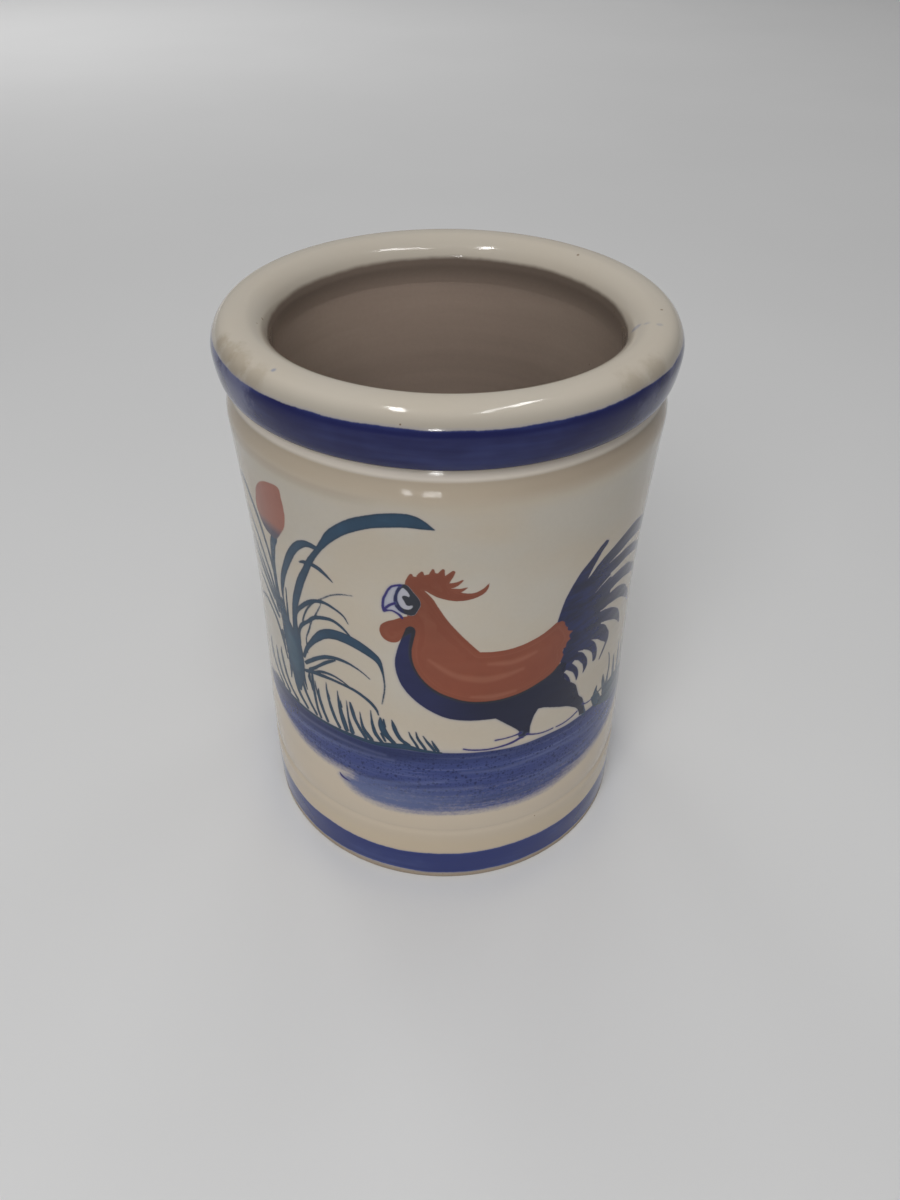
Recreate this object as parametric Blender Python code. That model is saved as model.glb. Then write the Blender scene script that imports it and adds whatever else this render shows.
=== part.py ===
"""Thrown ceramic chopstick holder: foot ring, base, waisted wall and rolled rim.

Metres, +Z up. The floor it stands on is z = 0 and the pot's axis is the Z axis.
"""
import math

import bpy

HEIGHT = 0.1345
RIM_RADIUS = 0.05
RIM_WIDTH = 0.0121
RIM_DEPTH = 0.013
RIM_OVERHANG = 0.0034
FOOT_INSET = 0.0029
FOOT_RING_WIDTH = 0.0106
WALL_THICKNESS = 0.0067
FLOOR_THICKNESS = 0.0058
COVE_RADIUS = 0.0065
GLAZE_LINE_HEIGHT = 0.0015
TURNED_LINE_ABOVE_FLOOR = 0.0087
TURNED_LINE_DEPTH = 0.00015
LAP_INSET = 0.0028
LAP_HEIGHT = 0.0022
SEAT_GAP = 0.0003
RIDGE_DEPTH = 0.0002
EDGE_ROUND = 0.0005

LIP_SHARE = 0.53
LIP_RADIUS = RIM_RADIUS - RIM_WIDTH
CREASE_RADIUS = RIM_RADIUS - RIM_OVERHANG
CREASE_HEIGHT = HEIGHT - RIM_DEPTH
LIP_HEIGHT = CREASE_HEIGHT + LIP_SHARE * RIM_DEPTH
FOOT_RADIUS = RIM_RADIUS - FOOT_INSET
FOOT_HOLLOW_RADIUS = FOOT_RADIUS - FOOT_RING_WIDTH
INSIDE_RADIUS = FOOT_RADIUS - WALL_THICKNESS
LAP_RADIUS = INSIDE_RADIUS + LAP_INSET
FLOOR_TOP = GLAZE_LINE_HEIGHT + SEAT_GAP + LAP_HEIGHT + FLOOR_THICKNESS
TURNED_LINE_HEIGHT = FLOOR_TOP + TURNED_LINE_ABOVE_FLOOR

SEGMENTS = 64
RIDGES = 9
FLOOR_RINGS = 3
COVE_STEPS = 4
SHARP_ANGLE = math.radians(40)

# Height share of the wall from turned line to crease, with the radius as a share of RIM_RADIUS.
WALL_OUTSIDE_SHARES = (
    (0.083, 0.944),
    (0.194, 0.938),
    (0.303, 0.9325),
    (0.403, 0.93),
    (0.519, 0.93),
    (0.636, 0.936),
    (0.752, 0.948),
    (0.869, 0.962),
    (0.927, 0.971),
    (0.956, 0.963),
    (0.976, 0.953),
    (0.99, 0.942),
)

# The skirt's radius as a share of FOOT_RADIUS, by height share of the turned line's height.
SKIRT_OUTSIDE_SHARES = (
    (0.16, 1.0),
    (0.34, 1.003),
    (0.54, 1.004),
    (0.75, 1.0045),
    (0.93, 1.004),
)

# The rolled rim, outside from the crease over the crown to the lip: the radius share runs from
# the lip radius to the rim radius, and the height share from the crease to the top.
RIM_ROLL_SHARES = (
    (0.875, 0.054),
    (0.93, 0.146),
    (0.971, 0.3),
    (1.0, 0.5),
    (0.998, 0.61),
    (0.959, 0.74),
    (0.885, 0.862),
    (0.769, 0.954),
    (0.636, 0.992),
    (0.504, 1.0),
    (0.355, 0.985),
    (0.223, 0.923),
    (0.107, 0.823),
    (0.033, 0.692),
    (0.0, LIP_SHARE),
)


def between(low, high, share):
    """Point a share of the way from low to high."""
    return low + (high - low) * share


def revolve(name, profile, material):
    """Turn a closed profile of (radius, height) points about Z, running anticlockwise."""
    verts = []
    rings = []
    for radius, height in profile:
        if radius == 0:
            rings.append([len(verts)] * SEGMENTS)
            verts.append((0, 0, height))
            continue
        ring = []
        for step in range(SEGMENTS):
            turn = math.tau * step / SEGMENTS
            ring.append(len(verts))
            verts.append((radius * math.cos(turn), radius * math.sin(turn), height))
        rings.append(ring)
    faces = []
    for lower, upper in zip(rings, rings[1:] + rings[:1]):
        for step in range(SEGMENTS):
            after = (step + 1) % SEGMENTS
            corners = [lower[step], lower[after], upper[after], upper[step]]
            face = list(dict.fromkeys(corners))
            if len(face) > 2:
                faces.append(face)
    mesh = bpy.data.meshes.new(name)
    mesh.from_pydata(verts, [], faces)
    mesh.materials.append(material)
    mesh.validate()
    for polygon in mesh.polygons:
        polygon.use_smooth = True
    mesh.set_sharp_from_angle(angle=SHARP_ANGLE)
    piece = bpy.data.objects.new(name, mesh)
    bpy.context.scene.collection.objects.link(piece)
    return piece


def ceramic(name, colour, roughness, gloss):
    """Fired clay or glaze: a colour, how rough it is and how strong its clear gloss is."""
    material = bpy.data.materials.new(name)
    material.use_nodes = True
    shader = material.node_tree.nodes["Principled BSDF"]
    shader.inputs["Base Color"].default_value = (*colour, 1)
    shader.inputs["Roughness"].default_value = roughness
    shader.inputs["Metallic"].default_value = 0
    shader.inputs["Coat Weight"].default_value = gloss
    return material


def glazed_clay():
    """Glossy warm grey-cream glaze."""
    return ceramic("glaze_cream", (0.52, 0.46, 0.37), 0.16, 0.5)


def bare_clay():
    """Matt tan clay where the glaze stops."""
    return ceramic("clay_bare", (0.46, 0.33, 0.21), 0.8, 0)


def lap_up(height):
    """Step up from the outer ledge of a seat to its raised inner half."""
    return [
        (LAP_RADIUS, height),
        (LAP_RADIUS, height + LAP_HEIGHT),
    ]


def lap_down(height):
    """Step down of the piece that sits over lap_up, a seat gap clear of it."""
    return [
        (LAP_RADIUS + SEAT_GAP, height + LAP_HEIGHT + SEAT_GAP),
        (LAP_RADIUS + SEAT_GAP, height + SEAT_GAP),
    ]


def inside_at(height):
    """Radius of the smooth inside at a height."""
    reach = (height - FLOOR_TOP) / (LIP_HEIGHT - FLOOR_TOP)
    return between(INSIDE_RADIUS, LIP_RADIUS, reach * reach)


def inside_points(high, low, steps):
    """Inside of the wall from high to low, with a faint throwing ridge at every other step."""
    points = []
    for step in range(steps + 1):
        height = between(high, low, step / steps)
        points.append((inside_at(height) + RIDGE_DEPTH * (step % 2), height))
    return points


def build_foot_ring():
    """Bare clay ring: a narrow outer ledge and a raised inner half let into the base."""
    profile = [
        (FOOT_HOLLOW_RADIUS + EDGE_ROUND, 0),
        (FOOT_RADIUS - EDGE_ROUND, 0),
        (FOOT_RADIUS, EDGE_ROUND),
        (FOOT_RADIUS, GLAZE_LINE_HEIGHT),
    ]
    profile += lap_up(GLAZE_LINE_HEIGHT)
    profile += [
        (FOOT_HOLLOW_RADIUS, GLAZE_LINE_HEIGHT + LAP_HEIGHT),
        (FOOT_HOLLOW_RADIUS, EDGE_ROUND),
    ]
    return revolve("foot_ring", profile, bare_clay())


def floor_inside():
    """Inside of the base from its rim down the cove and across the floor to the axis."""
    points = []
    centre_radius = INSIDE_RADIUS - COVE_RADIUS
    centre_height = FLOOR_TOP + COVE_RADIUS
    for step in range(COVE_STEPS + 1):
        turn = math.pi / 2 * step / COVE_STEPS
        radius = centre_radius + COVE_RADIUS * math.cos(turn)
        points.append((radius, centre_height - COVE_RADIUS * math.sin(turn)))
    for step in range(1, 2 * FLOOR_RINGS):
        share = 1 - step / (2 * FLOOR_RINGS)
        points.append((centre_radius * share, FLOOR_TOP - RIDGE_DEPTH * (step % 2)))
    points.append((0, FLOOR_TOP))
    return points


def build_base():
    """Floor and low skirt, from the glaze line at the foot to the turned line."""
    under = GLAZE_LINE_HEIGHT + SEAT_GAP
    rim = TURNED_LINE_HEIGHT
    profile = [(0, under + LAP_HEIGHT)]
    profile += lap_down(GLAZE_LINE_HEIGHT)
    profile.append((FOOT_RADIUS, under))
    for height_share, radius_share in SKIRT_OUTSIDE_SHARES:
        profile.append((FOOT_RADIUS * radius_share, rim * height_share))
    profile.append((FOOT_RADIUS - TURNED_LINE_DEPTH, rim))
    profile += lap_up(rim)
    profile.append((inside_at(rim + LAP_HEIGHT), rim + LAP_HEIGHT))
    profile += floor_inside()
    return revolve("base", profile, glazed_clay())


def build_wall():
    """Waisted wall with throwing ridges inside, from the turned line to the crease."""
    low = TURNED_LINE_HEIGHT
    high = CREASE_HEIGHT
    foot = low + LAP_HEIGHT + SEAT_GAP
    profile = [(inside_at(foot), foot)]
    profile += lap_down(low)
    profile.append((FOOT_RADIUS - TURNED_LINE_DEPTH, low + SEAT_GAP))
    for height_share, radius_share in WALL_OUTSIDE_SHARES:
        profile.append((RIM_RADIUS * radius_share, between(low, high, height_share)))
    profile.append((CREASE_RADIUS, high))
    profile += lap_up(high)
    profile += inside_points(high + LAP_HEIGHT, foot, 2 * RIDGES)[:-1]
    return revolve("wall", profile, glazed_clay())


def build_rim_collar():
    """Thick rolled rim that overhangs the crease and narrows the mouth a little."""
    under = CREASE_HEIGHT + LAP_HEIGHT + SEAT_GAP
    profile = [(inside_at(under), under)]
    profile += lap_down(CREASE_HEIGHT)
    profile.append((CREASE_RADIUS, CREASE_HEIGHT + SEAT_GAP))
    for radius_share, height_share in RIM_ROLL_SHARES:
        radius = between(LIP_RADIUS, RIM_RADIUS, radius_share)
        profile.append((radius, between(CREASE_HEIGHT, HEIGHT, height_share)))
    return revolve("rim_collar", profile, glazed_clay())


def main():
    for leftover in list(bpy.data.objects):
        bpy.data.objects.remove(leftover, do_unlink=True)
    build_foot_ring()
    build_base()
    build_wall()
    build_rim_collar()


main()
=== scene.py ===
"""Looks of a hand-painted ceramic chopstick holder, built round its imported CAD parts.

Shapes are worked out in millimetres and become metres when a mesh is made. The pot's axis is Z
and its painted face looks along -Y. On the wall, u is the way round in mm at PAINT_RADIUS,
counted to the right of the front, and z is the height.
"""

import math

import bpy
import numpy as np
from mathutils import Matrix, Vector, geometry


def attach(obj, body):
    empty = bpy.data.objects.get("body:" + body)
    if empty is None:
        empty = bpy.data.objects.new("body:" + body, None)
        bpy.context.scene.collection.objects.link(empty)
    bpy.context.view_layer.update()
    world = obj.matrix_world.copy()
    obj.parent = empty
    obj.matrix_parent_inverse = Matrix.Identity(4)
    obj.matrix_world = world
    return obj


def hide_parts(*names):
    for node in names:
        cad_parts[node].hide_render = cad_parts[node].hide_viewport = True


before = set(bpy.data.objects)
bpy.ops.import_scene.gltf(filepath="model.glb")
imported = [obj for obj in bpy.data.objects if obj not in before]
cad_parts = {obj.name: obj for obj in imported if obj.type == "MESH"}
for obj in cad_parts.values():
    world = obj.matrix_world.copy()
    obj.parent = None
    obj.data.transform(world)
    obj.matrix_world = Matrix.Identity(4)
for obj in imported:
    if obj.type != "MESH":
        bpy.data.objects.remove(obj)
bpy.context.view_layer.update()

MM = 0.001

# Form of the pot in mm
CREASE_HEIGHT = 121.5
SHOULDER_HEIGHT = 112
TURNED_LINE_HEIGHT = 18.5
GLAZE_LINE_HEIGHT = 1.5
FLOOR_HEIGHT = 9.8
LIP_HEIGHT = 128.4
LIP_RADIUS = 37.9
INSIDE_RADIUS = 40.4
COVE_RADIUS = 6.5
LAP_RADIUS = 43.2
LAP_HEIGHT = 2.35
FOOT_RADIUS = 47.1
FOOT_HOLLOW_RADIUS = 36.5
EDGE_ROUND = 0.5
EDGE_CUT = 0.15

# Outsides from bottom to top as (radius, height)
SKIRT_OUTLINE = [
    (47.1, 1.5), (47.1, 3), (47.24, 6.3), (47.29, 10), (47.31, 13.9), (47.28, 17.2), (46.95, 18.5),
]
WALL_OUTLINE = [
    (46.95, 18.5), (47.12, 20.5), (47.2, 27), (46.9, 38.5), (46.63, 49.7), (46.5, 60), (46.5, 72),
    (46.8, 84), (47.4, 96), (48.1, 108), (48.5, 113.6), (48.45, 115.4), (48.1, 117.2), (47.6, 119),
    (47.1, 120.4), (46.6, 121.5),
]
RIM_OUTLINE = [
    (46.6, 121.5), (47.5, 121.75), (48.49, 122.2), (49.15, 123.4), (49.65, 125.4), (50, 128),
    (49.98, 129.43), (49.5, 131.12), (48.6, 132.7), (47.2, 133.9), (45.6, 134.4), (44, 134.5),
    (42.2, 134.3), (40.6, 133.5), (39.2, 132.2), (38.3, 130.5), (37.9, 128.4),
]

# Waves of the thrown clay as (depth in mm, speed, start), and where they fade
FOOT_SWAY = ((0.05, 2, 0.7), (0.03, 3, 2.1))
RIM_SWAY = ((0.07, 2, 2.4), (0.04, 5, 0.4))
RIM_LIFT = ((0.06, 1, 0.5), (0.05, 2, 1.9))
RIM_SINK = 0.06
RIM_LIFT_FADE = 9
FINGER_WAVES = ((0.025, 1, 0), (0.01, 2.3, 1))
FINGER_PITCH = 7.4
FINGER_TOP = LIP_HEIGHT - 6
FINGER_FADE_IN = 8
FINGER_FADE_OUT = 12
TURNED_WAVES = ((0.012, 0.9, 0), (0.008, 2.17, 1.3))
TURNED_FADE_IN = 4
TURNED_FADE_OUT = 6
FLOOR_RING_DEPTH = 0.1
FLOOR_RING_SPEED = 1.1
FLOOR_RING_FADE = 10

# Blue bands: the foot's by height, higher at the back, and the rim's from a way along its outline
FOOT_BLUE_LOW = 1.9
FOOT_BLUE_HIGH = 9.9
FOOT_BLUE_RISE = 1.8
FOOT_BLUE_RISE_START = 0.75
FOOT_BLUE_RISE_LENGTH = 0.6
RIM_BLUE_START = 1.1
RIM_BLUE_HIGH = 131
RIM_OUTER_RADIUS = 47
# Where the inside's browner glaze starts on the lip's inner roll, which carries painted shade
LIP_BROWN_WAY = 2.8
LIP_BROWN_FADE = 2.2

# How finely meshes are cut
COARSE_COLUMNS = 144
COARSE_ROWS = 50
REFINE = 8
COLUMNS = COARSE_COLUMNS * REFINE
ROWS = COARSE_ROWS * REFINE
RIM_SEGMENTS = 288
INSIDE_RINGS = 108
RIM_INSIDE_RINGS = 8
BASE_INSIDE_RINGS = 6
COVE_RINGS = 9
FLOOR_RADII = np.linspace(33.6, 1.5, 34)
STROKE_STEP = 0.45
RIM_STEP = 0.42
SKIRT_STEP = 0.5
WALL_STEP = 0.05
SHARP_ANGLE = math.radians(50)


def curve(knots, closed=False, step=STROKE_STEP):
    """Smooth curve through the knots, as rows about a step apart."""
    knots = np.array(knots, float)
    if closed:
        knots = np.concatenate([knots[-3:], knots, knots[:3]])
    reach = np.hypot(*np.diff(knots[:, :2], axis=0).T)
    at = np.concatenate([[0], np.cumsum(np.sqrt(reach))])
    slope = np.gradient(knots, at, axis=0)
    spans = range(3, len(knots) - 3) if closed else range(len(knots) - 1)
    rows = []
    for i in spans:
        t = np.linspace(0, 1, max(1, math.ceil(reach[i] / step)), endpoint=False)[:, None]
        gap = at[i + 1] - at[i]
        rows.append(
            (2 * t**3 - 3 * t**2 + 1) * knots[i]
            + (t**3 - 2 * t**2 + t) * gap * slope[i]
            + (3 * t**2 - 2 * t**3) * knots[i + 1]
            + (t**3 - t**2) * gap * slope[i + 1]
        )
    rows.append(knots[spans[-1] + 1][None])
    return np.concatenate(rows)


def ramp(value, start, length):
    """0 up to the start and 1 a length further on. A length below zero runs downwards."""
    return np.clip((value - start) / length, 0, 1)


def waves(rows, at):
    """Sum of sine waves, each as (depth, speed, start)."""
    return sum(depth * np.sin(speed * at + start) for depth, speed, start in rows)


def sway(turn, height):
    """How far a thrown pot stands off the true round at a turn and height, in mm."""
    share = ramp(height, 0, CREASE_HEIGHT)
    return waves(FOOT_SWAY, turn) * (1 - share) + waves(RIM_SWAY, turn) * share


def lift(turn, height):
    """How far the rim rises and falls round its turn, in mm, fading out at the crease."""
    return ramp(height, CREASE_HEIGHT, RIM_LIFT_FADE) * (waves(RIM_LIFT, turn) - RIM_SINK)


def ridges(turn, height):
    """Faint spiral left inside by the thrower's fingers, in mm."""
    fade = ramp(height, FINGER_TOP, -FINGER_FADE_OUT) * ramp(height, FLOOR_HEIGHT, FINGER_FADE_IN)
    return fade * waves(FINGER_WAVES, math.tau * height / FINGER_PITCH + turn)


def turning(height):
    """Faint rings on the outside of the wall, in mm."""
    fade = ramp(height, TURNED_LINE_HEIGHT + 1, TURNED_FADE_IN)
    return fade * ramp(height, SHOULDER_HEIGHT, -TURNED_FADE_OUT) * waves(TURNED_WAVES, height)


def inside_radius(height):
    """Radius of the smooth inside at a height."""
    reach = (np.asarray(height, float) - FLOOR_HEIGHT) / (LIP_HEIGHT - FLOOR_HEIGHT)
    return INSIDE_RADIUS + (LIP_RADIUS - INSIDE_RADIUS) * reach * reach


def place(radius, turn, height):
    """Points in mm from radius, turn and height."""
    return np.stack([radius * np.sin(turn), -radius * np.cos(turn), height], -1)


class Form:
    """A closed turned mesh built ring by ring, with named values carried at its points."""

    def __init__(self, turns, **blank):
        """Start with the turns of a ring's points and each value's number where none is given."""
        self.turns = turns
        self.blank = blank
        self.points = []
        self.count = 0
        self.faces = []
        self.values = {name: [] for name in blank}

    def add(self, points, **values):
        """Add points with their values and return their numbers."""
        numbers = np.arange(self.count, self.count + len(points))
        self.points.append(points)
        for name, rows in self.values.items():
            rows.append(np.broadcast_to(values.get(name, self.blank[name]), len(points)))
        self.count += len(points)
        return numbers

    def ring(self, radius, height, **values):
        """Add one ring and return the numbers of its points."""
        height = np.full(len(self.turns), float(height))
        radius = radius + sway(self.turns, height)
        return self.add(place(radius, self.turns, height + lift(self.turns, height)), **values)

    def seat(self, height, down=False):
        """The two rings of a seat's step over a height, upwards or downwards."""
        levels = (height + LAP_HEIGHT, height) if down else (height, height + LAP_HEIGHT)
        return [self.ring(LAP_RADIUS, level) for level in levels]

    def inside(self, heights):
        """Rings of the inside at these heights, with the marks of the thrower's fingers."""
        rings = []
        for height in heights:
            radius = inside_radius(height) + ridges(self.turns, height)
            rings.append(self.ring(radius, height, inner=1.0))
        return rings

    def loft(self, rings):
        """Quads between each ring and the next."""
        for lower, upper in zip(rings, rings[1:]):
            corners = [lower, np.roll(lower, -1), np.roll(upper, -1), upper]
            self.faces.extend(np.stack(corners, 1).tolist())

    def cap(self, rim, height, below=False, **values):
        """Close a ring at the axis."""
        centre = int(self.add(np.array([[0.0, 0.0, height]]), **values)[0])
        for a, b in zip(rim.tolist(), np.roll(rim, -1).tolist()):
            self.faces.append([b, a, centre] if below else [a, b, centre])

    def mesh(self, name, material):
        """Mesh in metres with the values as attributes."""
        mesh = bpy.data.meshes.new(name)
        mesh.from_pydata((np.concatenate(self.points) * MM).tolist(), [], self.faces)
        mesh.materials.append(material)
        for value, rows in self.values.items():
            layer = mesh.attributes.new(value, "FLOAT", "POINT")
            layer.data.foreach_set("value", np.concatenate(rows).astype(np.float32))
        mesh.polygons.foreach_set("use_smooth", np.ones(len(mesh.polygons), bool))
        mesh.set_sharp_from_angle(angle=SHARP_ANGLE)
        return mesh


def stand(name, mesh, node):
    """Put a mesh in the scene in place of a CAD node."""
    piece = bpy.data.objects.new(name, mesh)
    bpy.context.scene.collection.objects.link(piece)
    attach(piece, "root")
    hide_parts(node)


# Painting of the wall, laid out on a grid of turns and heights. It sits PAINT_DROP lower than written.
PAINT_RADIUS = 47.0
PAINT_DROP = 0.17
REACH = 2.6
RIM_REACH = 4.0
PLUME_LAP = 0.15
THINNEST = 0.05
NO_LENGTH = 1e-12
GRID_TURNS = np.linspace(-math.pi, math.pi, COLUMNS + 1)
GRID_U = GRID_TURNS * PAINT_RADIUS
GRID_Z = np.linspace(TURNED_LINE_HEIGHT, CREASE_HEIGHT, ROWS + 1)
PAINT_Z = GRID_Z + PAINT_DROP
WALL_TURNS = GRID_TURNS[:-1:REFINE]
RIM_TURNS = np.arange(RIM_SEGMENTS) * (math.tau / RIM_SEGMENTS)


def off_line(u, z, a, b):
    """Distance of points from the straight line a to b, and how far along it they lie."""
    along = b - a
    size = max(along[0] ** 2 + along[1] ** 2, NO_LENGTH)
    t = np.clip(((u - a[0]) * along[0] + (z - a[1]) * along[1]) / size, 0, 1)
    return np.hypot(u - a[0] - t * along[0], z - a[1] - t * along[1]), t


class Pigment:
    """How deep each point of the wall's grid lies inside one colour, in mm, below zero outside."""

    def __init__(self):
        self.depth = np.full((ROWS + 1, COLUMNS + 1), -REACH)

    def window(self, low, high):
        """Part of the grid round a box, with its u and z."""
        columns = slice(*np.searchsorted(GRID_U, [low[0] - REACH, high[0] + REACH]))
        rows = slice(*np.searchsorted(PAINT_Z, [low[1] - REACH, high[1] + REACH]))
        return (rows, columns), *np.meshgrid(GRID_U[columns], PAINT_Z[rows])

    def lay(self, part, depth):
        """Add what lies deeper than the colour already there."""
        self.depth[part] = np.maximum(self.depth[part], depth)

    def strokes(self, rows):
        """Brush strokes, each through (u, z, width) knots."""
        for knots in rows:
            path = curve(knots)
            for a, b in zip(path, path[1:]):
                part, u, z = self.window(np.minimum(a, b), np.maximum(a, b))
                off, t = off_line(u, z, a, b)
                width = np.maximum(a[2] + t * (b[2] - a[2]), THINNEST)
                self.lay(part, width / 2 - off)

    def loop(self, knots):
        """Filled smooth loop through (u, z) knots."""
        self.fill(curve(knots, closed=True)[:-1])

    def outline(self, runs):
        """Filled outline of smooth runs of (u, z) knots, each from the corner that ends the last."""
        before = runs[-1:] + runs[:-1]
        self.fill(np.concatenate([curve(last[-1:] + run)[:-1] for last, run in zip(before, runs)]))

    def fill(self, edge):
        """Everything inside an edge."""
        part, u, z = self.window(edge.min(0), edge.max(0))
        inside = np.zeros(u.shape, bool)
        near = np.full(u.shape, REACH)
        for a, b in zip(edge, np.roll(edge, -1, axis=0)):
            near = np.minimum(near, off_line(u, z, a, b)[0])
            if a[1] != b[1]:
                crossing = a[0] + (z - a[1]) * (b[0] - a[0]) / (b[1] - a[1])
                inside ^= ((a[1] > z) != (b[1] > z)) & (u < crossing)
        self.lay(part, np.where(inside, near, -near))

    def clear(self, other, lap=0.0):
        """Take away what lies under another pigment, but for a lap at its edge."""
        self.depth = np.minimum(self.depth, lap - other.depth)


# Strokes are rows of (u, z, width) knots. Loops and the runs of outlines are rows of (u, z) knots.
LEAVES = [
    # stem of the bud
    [(-40.7, 96.6, 1.2), (-41.3, 94.6, 2.3), (-42.3, 92.6, 2.1), (-43, 90.4, 1.95), (-43.7, 87.4, 1.7),
     (-44.1, 84.2, 1.6), (-44.2, 79.6, 1.6), (-43.4, 73, 2), (-41.6, 64, 2.4)],
    # long leaf over the cock
    [(-38.2, 66, 2.4), (-38.2, 71.5, 1.8), (-37.7, 76, 1.6), (-36.5, 80.2, 2.1), (-35, 84, 2.2),
     (-33.4, 87.6, 2.1), (-31.6, 90.9, 1.75), (-30, 94, 1.6), (-28.4, 96.5, 1.35), (-27, 98.5, 1.35),
     (-25.4, 100.8, 1.75), (-23.6, 103.2, 2.4), (-21, 105.7, 2.7), (-17.8, 107.9, 3),
     (-14.5, 109.45, 3.1), (-11.5, 110.35, 3.4), (-8.6, 110.85, 3.4), (-6.5, 110.85, 3.2),
     (-4.7, 110.3, 2.3), (-3.3, 109.7, 1.2), (-2.2, 109.2, 0.3)],
    # hooked leaf behind it
    [(-41.2, 70, 0.8), (-41.6, 74.5, 0.6), (-41.8, 77.6, 0.8), (-41.5, 80.6, 1.2), (-40.8, 83.2, 1.6),
     (-39.7, 86, 1.75), (-38.2, 89, 1.9), (-36.4, 92.2, 2), (-34.4, 95.2, 1.95), (-32.3, 97.4, 1.9),
     (-30.2, 98.6, 1.6), (-28.2, 98.7, 1.4), (-27, 98.5, 1)],
    [(-40.5, 69.5, 1), (-40.7, 73.1, 0.9), (-40.3, 77.6, 0.6), (-39.9, 81.6, 0.4)],
    # short leaf crossing
    [(-33.2, 92.4, 0.3), (-31.8, 93.1, 0.9), (-29.5, 93.5, 1.1), (-27.7, 93.3, 1.2), (-25.9, 92.3, 0.9),
     (-24.3, 91, 0.3)],
    # thin and broad arches to the right
    [(-37.6, 70, 1), (-37.3, 75.2, 0.9), (-36.4, 77.2, 1), (-34.5, 79.5, 1.1), (-32.3, 81.7, 1.1),
     (-30, 83.3, 1), (-27.3, 84.1, 0.9), (-24.5, 83.5, 0.7), (-22.5, 82.4, 0.5), (-21.4, 80.6, 0.25)],
    [(-35, 74.9, 0.5), (-33.9, 77.6, 0.5), (-32.3, 80.4, 0.5), (-30, 83.1, 0.4), (-27.7, 85.1, 0.35),
     (-25, 87.2, 0.35), (-22.7, 88.3, 0.35), (-19.8, 89, 0.2)],
    [(-34.5, 66, 0.5), (-34.3, 70.4, 0.4), (-33.2, 73.1, 0.5), (-31.8, 76.7, 0.4), (-30.2, 79.5, 0.4),
     (-28.6, 82.6, 0.3), (-28, 84.5, 0.2)],
    [(-37, 67, 0.9), (-36.6, 71.3, 0.9), (-35.5, 73.5, 1), (-33.2, 75.8, 0.9), (-30.9, 78.1, 1),
     (-28.2, 79.4, 1), (-25.5, 79.9, 0.9), (-23.2, 79, 0.8), (-21.4, 77.4, 0.5)],
    [(-35.9, 64, 1), (-34.5, 67.2, 1.2), (-32.7, 69.9, 1.4), (-30.9, 72.2, 1.9), (-28.6, 74.5, 2.4),
     (-25.9, 75.8, 2.8), (-22.7, 76.05, 3), (-19.5, 75.3, 2.8), (-16.8, 74, 2.3), (-15, 72.6, 1.7),
     (-14.2, 70.8, 1), (-13.7, 68.1, 0.5), (-13.5, 64.9, 0.4), (-13.9, 61.7, 0.4), (-14.3, 59.5, 0.3)],
    [(-35.5, 62.2, 1), (-33.6, 64, 1.1), (-30.9, 66.3, 1.1), (-28.2, 68, 1.1), (-25.5, 68.9, 1),
     (-23.2, 69, 0.9), (-20.9, 68.5, 0.6), (-18.6, 67.4, 0.4), (-17, 66.2, 0.3)],
    [(-34.2, 61, 0.9), (-32.7, 62.2, 0.9), (-30.9, 64, 0.8), (-28.2, 66.5, 0.9), (-25.9, 68.1, 0.5)],
    [(-35.9, 59.5, 0.9), (-33.6, 60.6, 1.2), (-30.9, 61.2, 1.1), (-27.2, 61.7, 0.85), (-23.4, 61.6, 0.8),
     (-21, 61.2, 0.9), (-18.8, 60.2, 0.9), (-16.8, 58.7, 0.9), (-15.7, 57.2, 0.7), (-15.3, 55.8, 0.4)],
    [(-32.7, 61, 0.6), (-30.2, 62.5, 0.8), (-26.9, 63.1, 0.7), (-24.3, 62.6, 0.5), (-22.4, 61.8, 0.3)],
    # leaves falling to the left
    [(-44.5, 83, 0.9), (-45.2, 87.2, 1), (-46.4, 91.3, 1.2), (-47.7, 94.9, 1.3), (-49.1, 97.6, 1.5),
     (-50.9, 99.9, 1.5), (-53.2, 102.2, 1.4), (-55.5, 103.1, 1), (-57.6, 102.6, 0.4)],
    [(-44.6, 74, 1.2), (-45.7, 78.5, 1.1), (-46.8, 81.7, 1.1), (-48.4, 84.9, 1.2), (-50, 88.1, 1.3),
     (-51.8, 90.8, 1.4), (-54.1, 93.1, 1.2), (-57, 95.4, 0.4)],
    [(-45, 72, 1.4), (-46.4, 76.7, 1.3), (-48.6, 79.9, 1.4), (-50.9, 82.6, 1.4), (-53.6, 85.8, 1.2),
     (-57, 88.4, 0.4)],
    [(-46.8, 74.9, 1.8), (-49.1, 77.6, 1.6), (-51.8, 80.4, 1.5), (-54.5, 83.1, 1.5), (-57.3, 84.9, 0.6)],
    [(-45.6, 70, 1.4), (-47.7, 72.2, 1.6), (-50.5, 74.5, 1.4), (-53.2, 76.3, 1.2), (-56.8, 77.6, 0.4)],
    [(-44.2, 62, 1.2), (-45.5, 65.4, 1.2), (-47.3, 68.1, 1.2), (-49.5, 69.9, 1.3), (-52.3, 70.8, 1.3),
     (-55, 70.1, 1), (-57.6, 68.8, 0.4)],
    # tuft they spring from
    [(-42.6, 77, 0.6), (-42.2, 73, 2.2), (-41.4, 69, 5.2), (-40.7, 65, 8), (-40.2, 61, 8.2),
     (-39.3, 57.4, 5.6), (-39, 54.6, 3), (-38.8, 52, 1.2)],
    [(-38.2, 72, 1.6), (-38, 66, 3.2), (-37.8, 61, 3.4)],
    [(-36.9, 66, 1), (-37.1, 61, 1.8), (-36.8, 57, 1.2), (-36, 53.6, 0.4)],
    [(-44.4, 66, 1.2), (-44.1, 61.6, 1), (-43.4, 58.4, 0.6)],
]
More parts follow.
